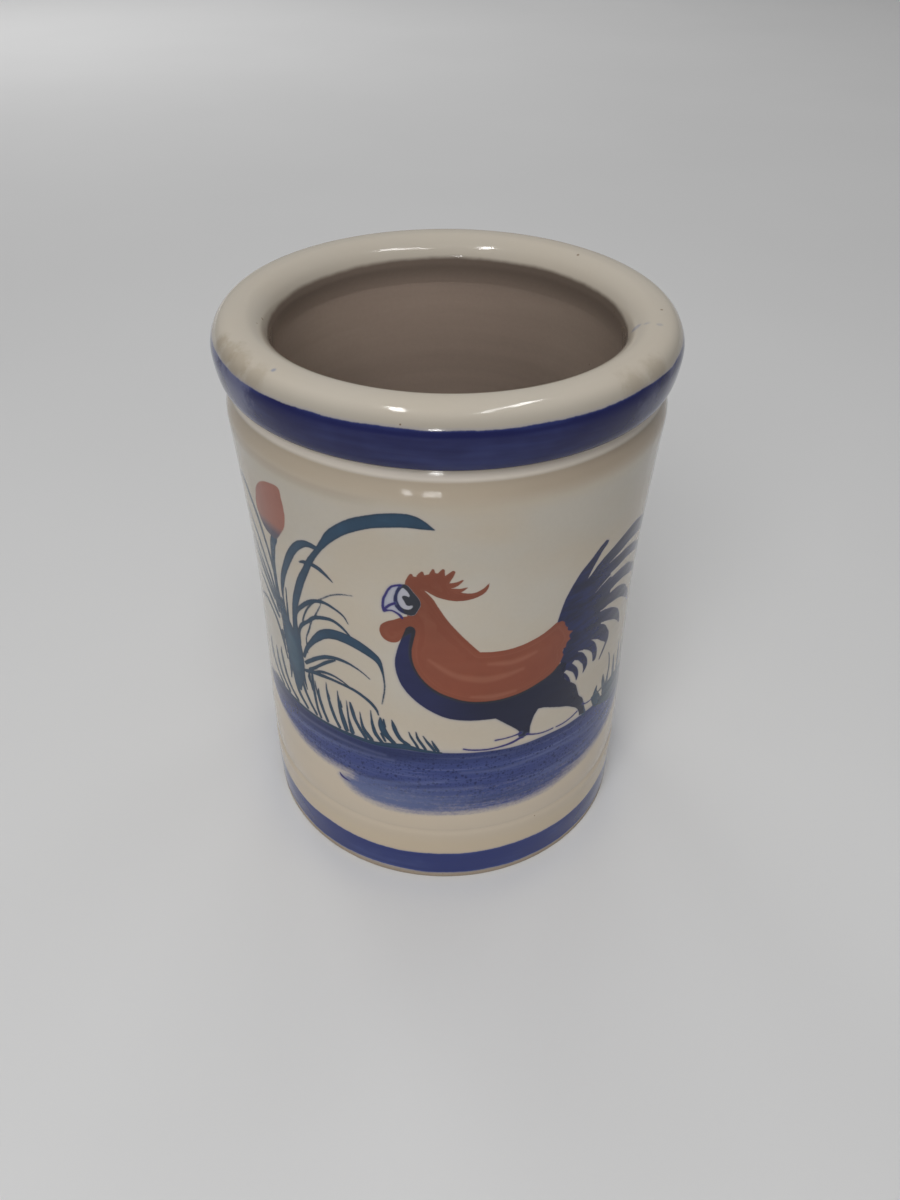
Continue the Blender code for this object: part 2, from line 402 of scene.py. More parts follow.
GRASS = [
    # left of the cock
    [(-53.8, 57.6, 0.5), (-53.8, 54.6, 1.3), (-52.4, 51.4, 1.4), (-49.6, 48.6, 1.3), (-47.4, 47.2, 1.2)],
    [(-49.7, 57.7, 0.4), (-49.5, 54.6, 1.3), (-48.4, 51.8, 1.5), (-46.5, 49.4, 1.3), (-44.2, 47.4, 1.2)],
    [(-46.6, 59.7, 0.3), (-46.5, 57.2, 1.1), (-45.7, 54.1, 1.2), (-44.5, 51.4, 1.2), (-42.6, 49, 1.1),
     (-40.3, 47.2, 1)],
    [(-42.5, 53, 0.4), (-42.2, 55.4, 1), (-42, 58, 1.6)],
    [(-41.1, 57, 1.4), (-40.3, 53.4, 1.6), (-39.5, 50.8, 1.4), (-38, 48.9, 1.2), (-36.5, 47.4, 1)],
    [(-38, 59, 1.6), (-37.6, 55.4, 1.2), (-36.6, 52.4, 1.1), (-34.9, 49.5, 1), (-33.3, 47.4, 1)],
    [(-34.4, 60, 0.5), (-34.7, 58, 1.1), (-34.2, 56.5, 0.8), (-34, 54.6, 0.4)],
    [(-33.6, 60.4, 0.7), (-33.6, 57.6, 1), (-33.4, 54.6, 1), (-33, 51.6, 0.9), (-32.5, 49.1, 0.9),
     (-31.8, 47.3, 0.9)],
    [(-32.8, 58.2, 0.3), (-32.6, 56, 0.5), (-32.2, 54, 0.6)],
    [(-31.8, 56.3, 0.4), (-31.9, 54.1, 1), (-31.3, 51.8, 1.1), (-30.5, 49.5, 1), (-29.6, 47.4, 1)],
    [(-29.15, 59.8, 0.25), (-29.1, 57.6, 0.6), (-28.7, 54.6, 0.9), (-27.8, 51.4, 1.05), (-26.9, 49.1, 1),
     (-26, 47.4, 1)],
    [(-28.6, 56.6, 0.2), (-28.5, 55.2, 0.6)],
    [(-25.9, 58.9, 0.25), (-25.8, 57, 0.6), (-25.6, 54.6, 1), (-25.2, 52.2, 1.3), (-24.7, 50.2, 1.5),
     (-24, 47.6, 1.4)],
    [(-25.2, 56.2, 0.25), (-25.1, 54.4, 0.8)],
    [(-23.5, 57, 0.25), (-23.4, 54.4, 0.5), (-23.2, 51.8, 0.6), (-22.8, 49.6, 1), (-22.4, 47.6, 1.4)],
    [(-22.5, 56.8, 0.6), (-22.1, 54.8, 1.1), (-21.5, 52.4, 1.05), (-20.7, 50.6, 1), (-19.7, 48.7, 1),
     (-18.8, 47.3, 1)],
    [(-20.05, 55, 0.25), (-19.8, 52.6, 0.6), (-19.4, 50.5, 0.9), (-18.6, 48.9, 1.2), (-17.4, 47.3, 1.2)],
    [(-17.2, 56.5, 0.25), (-17.1, 54.2, 0.55), (-16.8, 51.8, 0.9), (-16.3, 49.8, 1.1), (-15.3, 48.1, 1),
     (-14.5, 47, 0.9)],
    [(-14.9, 55, 0.5), (-14.7, 53, 1.6), (-14.1, 51, 1.8), (-13.2, 49.6, 1.5), (-12, 48.2, 1.2),
     (-11, 47, 1)],
    [(-14.1, 54.8, 0.4), (-14, 52.6, 1)],
    [(-14.7, 50, 0.8), (-13.9, 48, 0.7)],
    [(-12.1, 55.1, 0.35), (-11.6, 53, 1.1), (-10.9, 51, 1.1), (-9.9, 49.3, 1.1), (-8.2, 48, 1)],
    [(-8.15, 52.2, 0.3), (-7.6, 50.6, 0.6), (-6.85, 49.2, 0.65), (-6.1, 47.6, 0.7)],
    [(-6.5, 52.5, 0.3), (-6.1, 50.6, 0.65), (-5.3, 49, 0.75), (-4.3, 47.2, 0.7)],
    [(-4.85, 51.4, 0.3), (-4, 49.8, 0.65), (-3, 48.2, 0.8), (-2.2, 46.9, 0.7)],
    [(-2.85, 50.1, 0.3), (-2.2, 48.5, 0.8), (-1.4, 46.9, 0.8)],
    [(-53, 46.4, 0.7), (-44, 46.4, 0.9), (-34, 46.3, 0.8), (-24, 46.4, 1), (-17, 46.4, 1.1),
     (-12, 47, 1.5), (-8.8, 47.3, 1.7), (-5.4, 46.8, 1), (-0.6, 46.3, 0.5)],
    # right of the cock
    [(45.2, 52.4, 0.5), (45.4, 50.8, 1.3), (45.8, 49.2, 1.6), (46.4, 47.2, 1.8)],
    [(42.3, 50.8, 0.6), (41.9, 49.4, 1.5), (42, 48, 2.6), (42.6, 46.8, 3), (43.4, 45.6, 2.8)],
    [(40.6, 48.4, 0.8), (41.6, 46.4, 1.4), (43, 44.8, 2)],
    [(40.2, 48, 0.45), (43.2, 48.2, 0.5), (44.8, 48.3, 0.6)],
    [(46.9, 58.4, 0.25), (47.6, 57, 0.5), (48, 55.4, 0.6), (48.3, 53.6, 0.75), (48.3, 52, 0.8),
     (47.9, 50, 1.1), (47.8, 48.4, 1.8)],
    [(51.1, 55, 0.3), (51.3, 53.2, 0.9), (51.5, 51, 1.4), (51.9, 48.4, 2)],
    [(54.3, 56.8, 0.3), (54.8, 54.4, 0.9), (55, 51.6, 1.5), (55.4, 48, 2.2)],
    [(57.6, 55, 0.3), (58, 52, 1.2), (58.4, 48, 2)],
    [(46.6, 46.4, 2.2), (50, 46, 3.6), (54, 45.2, 4.2), (58, 44.6, 3), (61.5, 44.8, 1.6),
     (64.5, 45.8, 0.3)],
    [(42, 45.4, 1.4), (45.4, 44.2, 2.6), (49, 42.8, 3.4), (53, 41.6, 4), (57, 41.2, 3), (61, 41.6, 1.6),
     (64.5, 42.8, 0.3)],
    [(60.4, 51.4, 0.3), (60.8, 48.6, 1.1), (61, 45.6, 1.8)],
    [(63.2, 49.2, 0.3), (63, 46.8, 1), (62.4, 44.4, 1.4)],
    [(36.8, 49.4, 0.7), (37.1, 47.6, 1), (37.6, 45.4, 1.6)],
]
BUD = [
    (-36.1, 109.8), (-39.5, 109.5), (-42.7, 108.1), (-45.5, 105.4), (-46.8, 102.6), (-47.5, 99.9),
    (-46.8, 97.2), (-45, 95.1), (-42.7, 94.5), (-40.5, 94.7), (-38.2, 97.2), (-36.4, 99.9),
    (-35.7, 102.2), (-35.5, 104.9), (-35.7, 107.2),
]
GROUND = [
    [(-52, 46.2), (-44, 46.7), (-30, 46.5), (-15, 46.6), (0, 46.45), (6, 46.1), (11, 45.9), (16, 45.6),
     (20, 45.6), (25, 45.75), (31, 45.45), (36, 45.5), (41, 45.2), (46, 44.6), (50, 44), (54, 43.2),
     (58, 42.2), (61, 41.4), (63.5, 40.4)],
    [(62, 37.6), (58, 34.6), (50, 31.4), (42, 29.2), (34, 27.7), (24.7, 26), (12.6, 25.6), (1.9, 25.6),
     (-8.9, 25.1), (-16, 25.4), (-21.7, 26.7), (-24.8, 28.6), (-26.8, 31)],
    [(-25.6, 32), (-23.4, 33)],
    [(-28.9, 33.1), (-34.6, 33.6), (-42, 35), (-47, 36.5), (-52, 38.5), (-57, 41.2), (-58.5, 44.6)],
]
COCK = [
    [(-2.7, 92), (-1.3, 89.3), (0.3, 86.3), (2.7, 82.7), (5, 79.7), (7.5, 76.6)],
    [(10, 76.3), (13.3, 76.2), (16.3, 76.5), (19.3, 77.2), (22, 78.2), (25.2, 80)],
    [(26.8, 79.9), (27.7, 79)],
    [(27.9, 77.9), (28.7, 77.3)],
    [(28.9, 76.3), (30.7, 75.2)],
    [(29.5, 74.5), (30, 73.2)],
    [(28.9, 72.4), (28.9, 71.2)],
    [(27.9, 70.9), (28.4, 69.2)],
    [(27.8, 67.8), (26.6, 66), (25, 64.9), (21.7, 63.4), (17.5, 62), (13.3, 61.4), (9.2, 61.4), (5, 62),
     (1.7, 63.2), (-1.7, 65), (-4.4, 67.6), (-6.3, 70.7), (-7.4, 74.1), (-7.6, 77), (-7.2, 80.3),
     (-6.9, 82.5)],
    [(-7, 84.6), (-7.8, 86.6), (-8.8, 88.8), (-9.2, 91.2), (-8.9, 93.4), (-8.3, 95)],
    [(-6.4, 95.6), (-4, 93.6)],
]
WATTLE = [
    (-5.6, 86.6), (-8.7, 86.2), (-10.4, 85.2), (-12.4, 84.2), (-13.8, 82.7), (-14, 80.7), (-13.2, 79.2),
    (-11.5, 78.5), (-10, 79), (-8.8, 80.7), (-7.2, 82), (-5, 83),
]
COMB = [
    [(-7.9, 96.2), (-7.2, 97.3), (-5.8, 97.3), (-3.8, 98), (-2, 98.5), (-0.5, 98.3), (0.2, 97.2),
     (0.6, 95.6), (1.4, 94.3), (3, 93.5), (5.6, 93.2), (7.3, 94), (8.7, 95.5)],
    [(8.6, 94.3), (7.8, 92.9), (6.4, 92), (4.7, 91.4), (2.3, 91.2), (0, 91.6), (-2, 92.4), (-4, 93.8)],
    [(-6.4, 93.6), (-8.2, 94.6)],
]
COMB_TEETH = [
    [(-7, 96.4, 1.6), (-6.8, 97.6, 0.7)],
    [(-4.9, 97.4, 1.7), (-4.6, 98.5, 0.6)],
    [(-2.6, 98, 1.5), (-2.45, 99.3, 0.6)],
    [(-0.9, 98, 1.6), (-0.5, 99.3, 0.7)],
    [(-0.3, 96, 1.8), (0.7, 97.6, 1.5), (1.5, 98.8, 0.8)],
    [(0.6, 95.2, 1.5), (2.1, 95.65, 1.1), (3.4, 96.65, 0.35)],
    [(1, 94, 1.3), (2.9, 94, 1), (4.3, 94.7, 0.3)],
]
THIN = [
    [(-3.4, 74.6, 0.3), (-0.4, 72, 0.8), (2.5, 70.1, 1.1), (5.8, 69, 1.4), (9.2, 68.4, 1.5),
     (13.3, 68.7, 1.2), (17.5, 69.5, 0.5)],
    [(9.6, 72.8, 0.3), (12, 72.5, 0.7), (14.6, 72.2, 0.9), (17.5, 72.6, 0.8), (20.5, 73.4, 0.3)],
    [(6, 63.6, 0.3), (11, 63, 1), (16, 63.4, 0.3)],
    [(-22, 32.4, 0.4), (-18.9, 33.2, 0.8), (-11.7, 34.6, 1), (-4.6, 36, 0.8), (0.4, 37, 0.3)],
    [(-44, 39.8, 0.3), (-36, 40.4, 0.8), (-24, 41.6, 0.6), (-12, 42.2, 0.3)],
    [(-40, 43.2, 0.2), (-28, 43.7, 0.5), (-14, 43.3, 0.2)],
    [(-8, 33.3, 0.2), (0, 34.1, 0.7), (9, 34.5, 0.2)],
    [(-24, 30.2, 0.2), (-14, 29.4, 0.8), (-3, 29.7, 0.2)],
    [(4, 39.6, 0.3), (14, 39.2, 0.8), (28, 39.8, 0.7), (40, 38.4, 0.9), (54, 40, 1.6)],
    [(18, 32.4, 0.3), (30, 33, 0.8), (42, 33.6, 1.4), (54, 36, 2)],
]
EYE = [
    (-8.9, 94.9), (-8.2, 95), (-7.5, 94.7), (-6.9, 93.9), (-6.4, 93.1), (-5.95, 92.5), (-5.45, 91.7),
    (-5.05, 90.7), (-5.05, 89.6), (-5.45, 88.6), (-5.85, 87.75), (-6.35, 87), (-7, 86.75), (-7.8, 86.85),
    (-8.7, 87.15), (-9.35, 87.5), (-9.85, 88), (-10.35, 88.7), (-10.55, 89.5), (-10.6, 90.5),
    (-10.5, 91.3), (-10.25, 92.2), (-10.05, 93), (-9.75, 93.7), (-9.4, 94.4),
]
EYE_WHITE = [
    (-8.55, 94.05), (-8.85, 93.7), (-9.1, 93.3), (-9.5, 92.5), (-9.75, 91.2), (-9.65, 90.2), (-9.3, 89.2),
    (-8.9, 88.65), (-8.3, 88.35), (-7.2, 88.45), (-6.65, 89.1), (-6.7, 89.55), (-7.2, 89.4),
    (-7.7, 89.35), (-8.1, 89.7), (-8.3, 90.4), (-8.7, 91.1), (-8.8, 91.6), (-8.5, 91.95), (-7.9, 92),
    (-7.35, 91.75), (-7.2, 92.1), (-7.45, 92.9), (-8, 93.6),
]
BEAK = [
    [(-9.9, 94.6), (-10.85, 94.1), (-11.45, 93.3), (-12.3, 91.5), (-12.9, 89.6), (-13, 88.4),
     (-12.8, 87)],
    [(-11.9, 87.4), (-11, 87.5), (-10.2, 87.2), (-9, 86)],
    [(-9.4, 90), (-8.6, 94.9)],
]
FINE_LINES = [
    [(-9, 94.65, 0.55), (-9.85, 94.45, 0.55), (-10.8, 94, 0.55), (-11.4, 93.3, 0.55),
     (-11.85, 92.5, 0.55), (-12.25, 91.5, 0.55), (-12.65, 90.6, 0.6), (-12.85, 89.6, 0.6),
     (-12.95, 88.7, 0.6), (-12.9, 87.8, 0.7), (-12.75, 87.1, 0.7)],
    [(-12.75, 87.05, 0.7), (-11.95, 87.35, 0.5), (-11, 87.45, 0.5), (-10.25, 87.15, 0.5),
     (-9.6, 86.7, 0.6), (-9.1, 86.1, 0.7), (-8.9, 85.7, 0.4)],
    [(-12.7, 87.3, 0.5), (-12.25, 88.05, 0.6), (-11.6, 88.75, 0.65), (-10.8, 89.35, 0.65),
     (-10.4, 89.6, 0.6)],
    [(4.5, 47.4, 0.5), (5.6, 47.03, 0.5), (7.55, 46.7, 0.5), (10.05, 46.47, 0.5), (12.3, 46.56, 0.5),
     (14.5, 46.8, 0.6), (16.4, 47.2, 0.7), (18.1, 47.8, 0.7), (18.9, 47.75, 0.4)],
    [(11.9, 49, 0.5), (14.5, 49, 0.42), (17, 49.25, 0.5), (18.2, 49.5, 0.6)],
    [(19.8, 48.4, 0.6), (21.4, 47.7, 0.45), (23.1, 47.2, 0.42), (25.05, 46.9, 0.42), (27.15, 46.9, 0.42)],
    [(-26.7, 31.6, 0.2), (-26.3, 30.9, 0.7), (-25.3, 30.4, 0.6), (-23.4, 30.1, 0.2)],
    [(28.1, 46.8, 0.4), (30.05, 46.7, 0.45), (32.3, 46.95, 0.45), (33.95, 47.4, 0.5), (34.9, 47.7, 0.5)],
    [(36.9, 49, 0.5), (37.75, 48.4, 0.45), (39.3, 48, 0.4), (40.3, 48, 0.35)],
]
BREAST = [
    [(-9, 80.9), (-10.1, 77.4), (-10.9, 73.4), (-10.6, 69.5), (-9.2, 65.7), (-6.7, 62.4), (-3.3, 59.5),
     (0.8, 57.3), (5, 56.4), (9.2, 56.1), (11.7, 55.95)],
    [(13.1, 54.7), (15.05, 52.9), (16.7, 51.3), (17.7, 50.1)],
    [(17.5, 49.2), (17.6, 48.6), (18, 47.9), (19.2, 47.8), (20.5, 48.5)],
    [(20.55, 50.5), (20.9, 52.2), (21.45, 53.85), (22.4, 55.5)],
    [(24.2, 55.05), (26.2, 54.1), (28.7, 52.9), (30.9, 51.85), (32.55, 50.7), (33.95, 49.6), (34.9, 48.5),
     (35.6, 47), (35.8, 45.8)],
    [(37.7, 45.4)],
    [(37.4, 47.6), (37.1, 49.2), (36.4, 51.2), (35.1, 52.7), (34.25, 54.9), (33.4, 57.2), (32.2, 58.6),
     (30.4, 60.2), (29, 62.6), (29.6, 66)],
    [(27.8, 67.2), (25.4, 65.3), (21.7, 63.7), (17.5, 62.4), (13.3, 61.8), (9.2, 61.8), (5, 62.4),
     (1.7, 63.7), (-1.7, 65.6), (-4.2, 68), (-6, 70.9), (-7, 74.2), (-7.1, 77), (-6.6, 80), (-6.2, 82.3),
     (-6.4, 83.4), (-7.3, 83.8), (-8.2, 83.2)],
]
TAIL_MASS = [
    [(26, 82.9), (26.9, 86), (28.5, 89.1), (30.4, 91.9), (33.1, 94.2), (35.4, 96.2), (36.9, 97)],
    [(37.9, 96.4), (37.5, 95.6)],
    [(36.2, 94.5), (34.8, 92.6), (33.6, 90.6), (32.6, 88.6)],
    [(33.9, 89.6), (35.2, 90.9), (36.5, 91.7), (38.1, 92.3)],
    [(38.6, 90), (40, 87.4), (42, 84), (42.6, 80), (42.2, 76.4), (41.2, 73), (39.4, 70.2), (36.8, 68.4),
     (33.6, 66.6), (30.6, 64.6), (28.6, 63.2)],
    [(27.8, 66), (27.4, 68.4)],
    [(28.2, 72), (28.6, 76), (27.2, 78.8), (25.3, 79.8)],
]
FEATHERS = [
    [(34.4, 87.4, 3.4), (36.4, 89.4, 3.6), (38.3, 90.6, 3.7), (41.9, 91.7, 4), (44.4, 92.25, 4.2),
     (47.1, 92.6, 4.3), (49.7, 92.6, 4.4), (52.4, 92, 4.2), (55.2, 91, 3.9), (58.2, 89.6, 3.2),
     (61.5, 87.6, 1.6), (64, 85.8, 0.4)],
    [(36.5, 86.6, 3.4), (40.7, 87.4, 3.6), (44.4, 87.5, 3.4), (47.1, 87.5, 3.15), (49.7, 87.05, 2.8),
     (52.4, 86.2, 2.6), (55, 85, 2.3), (58.1, 83.3, 1.8), (60.6, 81.4, 0.6)],
    [(37, 80.6, 3.6), (40, 81.8, 3.8), (42.8, 82.1, 3.9), (44.9, 82.2, 3.7), (47.1, 82, 3.6),
     (49.8, 81.4, 3.4), (52.5, 80.1, 2.9), (55.2, 78.7, 2.4), (57.6, 76.8, 1.4), (59.2, 75.2, 0.4)],
    [(37, 77.6, 3), (40, 77.8, 3.2), (42.3, 77.6, 3.3), (44.5, 77.3, 3.6), (46.6, 76.8, 3.6),
     (48.9, 75.8, 3.3), (51.2, 74.4, 2.9), (53.2, 72.6, 2.4), (54.9, 71.1, 2), (56.5, 69, 1.1),
     (57.3, 67.6, 0.3)],
    [(37, 74, 3), (40.7, 73.5, 3.3), (43, 72.7, 3.4), (44.9, 71.7, 3.2), (46.6, 70.6, 3),
     (48.1, 69.5, 2.6), (49.3, 68.2, 2.1), (50.4, 66.8, 1.4), (51.2, 65.2, 0.5)],
    [(36.6, 71, 3.4), (39.8, 69.6, 3.9), (41.3, 68.6, 3.7), (42.7, 67, 3.3), (44, 65.5, 2.6),
     (44.5, 64, 1.4), (43.9, 62.6, 0.9), (43, 61.3, 0.8), (42, 59.9, 0.5)],
    [(34.6, 69, 2.6), (36.6, 67.6, 2.6), (37.9, 66.4, 2.3), (38.9, 65, 2), (39.4, 63.6, 1.8),
     (39.6, 62.2, 1.6), (39.55, 61.6, 1.4)],
    [(31, 67.6, 2.4), (32.6, 66.6, 2.3), (33.9, 65.7, 2.1), (35, 64.3, 1.9), (35.9, 62.8, 1.7),
     (36.1, 61.5, 1.4), (35.9, 60.5, 0.8), (35.6, 59.8, 0.3)],
    [(29.4, 65.2, 2), (30.6, 64.4, 1.9), (31.6, 63.4, 1.7), (32.5, 62.4, 1.5), (33.1, 61.1, 1.3),
     (33.4, 59.9, 0.9), (33.4, 58.8, 0.3)],
    [(29, 62.8, 1), (29.9, 61.6, 1), (30.6, 60.4, 0.9), (31.2, 59.4, 0.5)],
]
TAIL_GAPS = [
    [(36.3, 83, 0.15), (37.6, 83.7, 0.25), (39.2, 84.3, 0.35), (40.7, 84.75, 0.5), (42.8, 84.85, 0.8),
     (44.9, 84.95, 1.2)],
    [(39.4, 75.9, 0.2), (40.7, 75.6, 0.4), (42.8, 75.35, 0.9), (44.9, 74.7, 1.1)],
    [(42.6, 89.7, 0.2), (45, 89.75, 0.8), (48.4, 89.7, 1.4)],
    [(33, 67.7, 0.2), (34.4, 67, 0.5), (35.7, 66.2, 0.8)],
]


PIGMENTS = ("ground", "teal", "bud", "rust", "thin", "plume", "navy", "cobalt", "pale")


def paint():
    """Every pigment on the wall, by name."""
    made = {name: Pigment() for name in PIGMENTS}
    made["ground"].outline(GROUND)
    made["teal"].strokes(LEAVES + GRASS)
    made["bud"].loop(BUD)
    made["rust"].outline(COCK)
    made["rust"].loop(WATTLE)
    made["rust"].outline(COMB)
    made["rust"].strokes(COMB_TEETH)
    made["thin"].strokes(THIN)
    made["pale"].loop(EYE)
    made["pale"].outline(BEAK)
    made["plume"].strokes(FEATHERS)
    made["plume"].outline(TAIL_MASS)
    gaps = Pigment()
    gaps.strokes(TAIL_GAPS)
    made["plume"].clear(gaps)
    made["plume"].clear(made["rust"], PLUME_LAP)
    made["navy"].loop(EYE)
    white = Pigment()
    white.loop(EYE_WHITE)
    made["navy"].clear(white)
    made["navy"].outline(BREAST)
    made["cobalt"].strokes(FINE_LINES)
    return made


# Meshes, and how near a painted edge, in mm, each finer spacing of the wall's grid begins
FINE_NEAR = {4: 2.2, 2: 1.0, 1: 0.42}
SKIRT_BEND_HEIGHT = 21
POINT_SPACING = 1e-5
FACING_STEP = 0.05


def outside_of(outline):
    """Function giving an outside's radius at a height."""
    path = curve(outline, step=WALL_STEP)
    return lambda height: np.interp(height, path[:, 1], path[:, 0])


WALL_RADIUS = outside_of(WALL_OUTLINE)


def wall_points(turn, height):
    """Points of the wall's outside and the way they face."""
    def at(t, h):
        return place(WALL_RADIUS(h) + turning(h) + sway(t, h), t, h)

    small = FACING_STEP / PAINT_RADIUS
    along = at(turn + small, height) - at(turn - small, height)
    up = at(turn, height + FACING_STEP) - at(turn, height - FACING_STEP)
    facing = np.cross(along, up)
    return at(turn, height), facing / np.linalg.norm(facing, axis=1)[:, None]


def chosen_points(pigments):
    """Rows and columns of the grid to keep: coarse on bare glaze, fine along painted edges."""
    near = np.min([np.abs(p.depth) for p in pigments.values()], axis=0)
    row, column = np.indices(near.shape)
    keep = (row % REFINE == 0) & (column % REFINE == 0)
    for spacing, reach in FINE_NEAR.items():
        keep |= (row % spacing == 0) & (column % spacing == 0) & (near < reach)
    meridian = column % REFINE == 0
    curved = (GRID_Z[row] > SHOULDER_HEIGHT) | (GRID_Z[row] < SKIRT_BEND_HEIGHT)
    curved &= row % 2 == 0
    keep |= curved & meridian
    keep &= meridian | ((row > 0) & (row < ROWS))
    seam = (column == 0) | (column == COLUMNS)
    keep &= ~seam | (row % REFINE == 0) | curved
    return np.nonzero(keep)


def wall_mesh(material):
    """Painted wall: an outer skin as fine as its painting, closed by the seats and the inside."""
    pigments = paint()
    row, column = chosen_points(pigments)
    spots = [Vector(spot) for spot in np.stack([GRID_U[column], GRID_Z[row]], 1).tolist()]
    cut = geometry.delaunay_2d_cdt(spots, [], [], 0, POINT_SPACING, True)
    triangles = np.array(cut[2])
    source = np.array([sources[0] for sources in cut[3]])
    row, column = row[source], column[source]
    # The last column lies on the first, so its points take the first column's numbers.
    kept = column < COLUMNS
    number = np.full(len(row), -1)
    number[kept] = np.arange(kept.sum())
    first = np.full(ROWS + 1, -1)
    first[row[column == 0]] = number[column == 0]
    number[~kept] = first[row[~kept]]

    def edge(at_row):
        on = (row == at_row) & kept
        return number[on][np.argsort(column[on])]

    form = Form(WALL_TURNS, inner=0.0, **dict.fromkeys(pigments, -REACH))
    points, facing = wall_points(GRID_TURNS[column[kept]], GRID_Z[row[kept]])
    form.add(points, **{name: p.depth[row[kept], column[kept]] for name, p in pigments.items()})
    form.faces.extend(number[triangles].tolist())
    painted = len(form.faces)
    inside = np.linspace(CREASE_HEIGHT + LAP_HEIGHT, TURNED_LINE_HEIGHT + LAP_HEIGHT, INSIDE_RINGS)
    rings = [edge(ROWS)] + form.seat(CREASE_HEIGHT) + form.inside(inside)
    form.loft(rings + form.seat(TURNED_LINE_HEIGHT, down=True) + [edge(0)])
    mesh = form.mesh("wall_glazed", material)
    normals = np.zeros((len(mesh.loops), 3))
    skin = np.arange(painted * 3)
    normals[skin] = facing[read(mesh.loops, "vertex_index", int)[skin]]
    mesh.normals_split_custom_set(normals.tolist())
    add_bake_map(mesh, painted)
    return mesh


def read(items, name, kind=float, size=1):
    """One property of every loop, vertex or polygon of a mesh."""
    values = np.zeros(len(items) * size, kind)
    items.foreach_get(name, values)
    return values


# Bake map: boxes as (left, low, width, height) for the wall's front and back and for its inside
FRONT_HALF = math.radians(86)
FRONT_BOX = (0.005, 0.30, 0.99, 0.69)
BACK_BOX = (0.01, 0.155, 0.98, 0.135)
INSIDE_BOX = (0.02, 0.015, 0.96, 0.125)
FRONT_SPARE = 1.5
BACK_SPARE = 4
INSIDE_SPARE = 0.1
SEAT_SPARE = 0.02
SEAT_START = 40
SEAT_SCALE = 100
SEAT_FROM = LAP_RADIUS - 0.6
HALF_HEIGHT = 70


def add_bake_map(mesh, painted):
    """UV map that gives the painted front the most room."""
    points = read(mesh.vertices, "co", size=3).reshape(-1, 3)
    points = points[read(mesh.loops, "vertex_index", int)] / MM
    turn = np.arctan2(points[:, 0], -points[:, 1])
    totals = read(mesh.polygons, "loop_total", int)
    face = np.repeat(np.arange(len(totals)), totals)
    middle = np.bincount(face, np.cos(turn))
    side = np.bincount(face, np.sin(turn))
    centre = np.arctan2(side, middle)[face]
    turn = centre + (turn - centre + math.pi) % math.tau - math.pi
    u = turn * PAINT_RADIUS
    span = math.tau * PAINT_RADIUS
    up = (points[:, 2] - TURNED_LINE_HEIGHT) / (CREASE_HEIGHT + LAP_HEIGHT - TURNED_LINE_HEIGHT)
    skin = face < painted
    front = skin & (np.abs(centre) < FRONT_HALF)
    edge = FRONT_HALF * PAINT_RADIUS + FRONT_SPARE
    around = np.where(u > 0, u, u + span)
    # The inside and the seats are one strip, unrolled along their profile.
    radius = np.hypot(points[:, 0], points[:, 1])
    seat = SEAT_SPARE + (radius - SEAT_START) / SEAT_SCALE
    along = np.where(points[:, 2] > HALF_HEIGHT, 1 + seat, -seat)
    along = np.where(radius < SEAT_FROM, up, along)
    uv = np.zeros((len(points), 2))

    def lay(part, box, across, above):
        left, low, width, height = box
        uv[part, 0] = left + width * across[part]
        uv[part, 1] = low + height * above[part]

    lay(front, FRONT_BOX, 0.5 + u / (2 * edge), up)
    back = (around - edge + BACK_SPARE) / (span - 2 * edge + 2 * BACK_SPARE)
    lay(skin & ~front, BACK_BOX, back, up)
    strip = (along + INSIDE_SPARE) / (1 + 2 * INSIDE_SPARE)
    lay(~skin, INSIDE_BOX, u / span + 0.5, strip)
    layer = mesh.uv_layers.new(name="OFBake")
    layer.data.foreach_set("uv", uv.astype(np.float32).ravel())


def rim_mesh(material):
    """Rolled rim, with how deep each point lies in the blue band and how far inside it is."""
    form = Form(RIM_TURNS, band=-RIM_REACH, inner=0.0)
    path = curve(RIM_OUTLINE, step=RIM_STEP)
    along = np.concatenate([[0], np.cumsum(np.hypot(*np.diff(path, axis=0).T))])
    outer = path[:, 0] > RIM_OUTER_RADIUS
    band_end = np.interp(RIM_BLUE_HIGH, path[outer][:, 1], along[outer])
    rings = []
    for (radius, height), way in zip(path, along):
        band = max(min(way - RIM_BLUE_START, band_end - way), -RIM_REACH)
        inner = ramp(way, along[-1] - LIP_BROWN_WAY, LIP_BROWN_FADE)
        rings.append(form.ring(radius, height, band=band, inner=inner))
    inside = np.linspace(LIP_HEIGHT, CREASE_HEIGHT + LAP_HEIGHT, RIM_INSIDE_RINGS)[1:]
    rings += form.inside(inside) + form.seat(CREASE_HEIGHT, down=True)
    form.loft(rings + rings[:1])
    return form.mesh("rim_glazed", material)


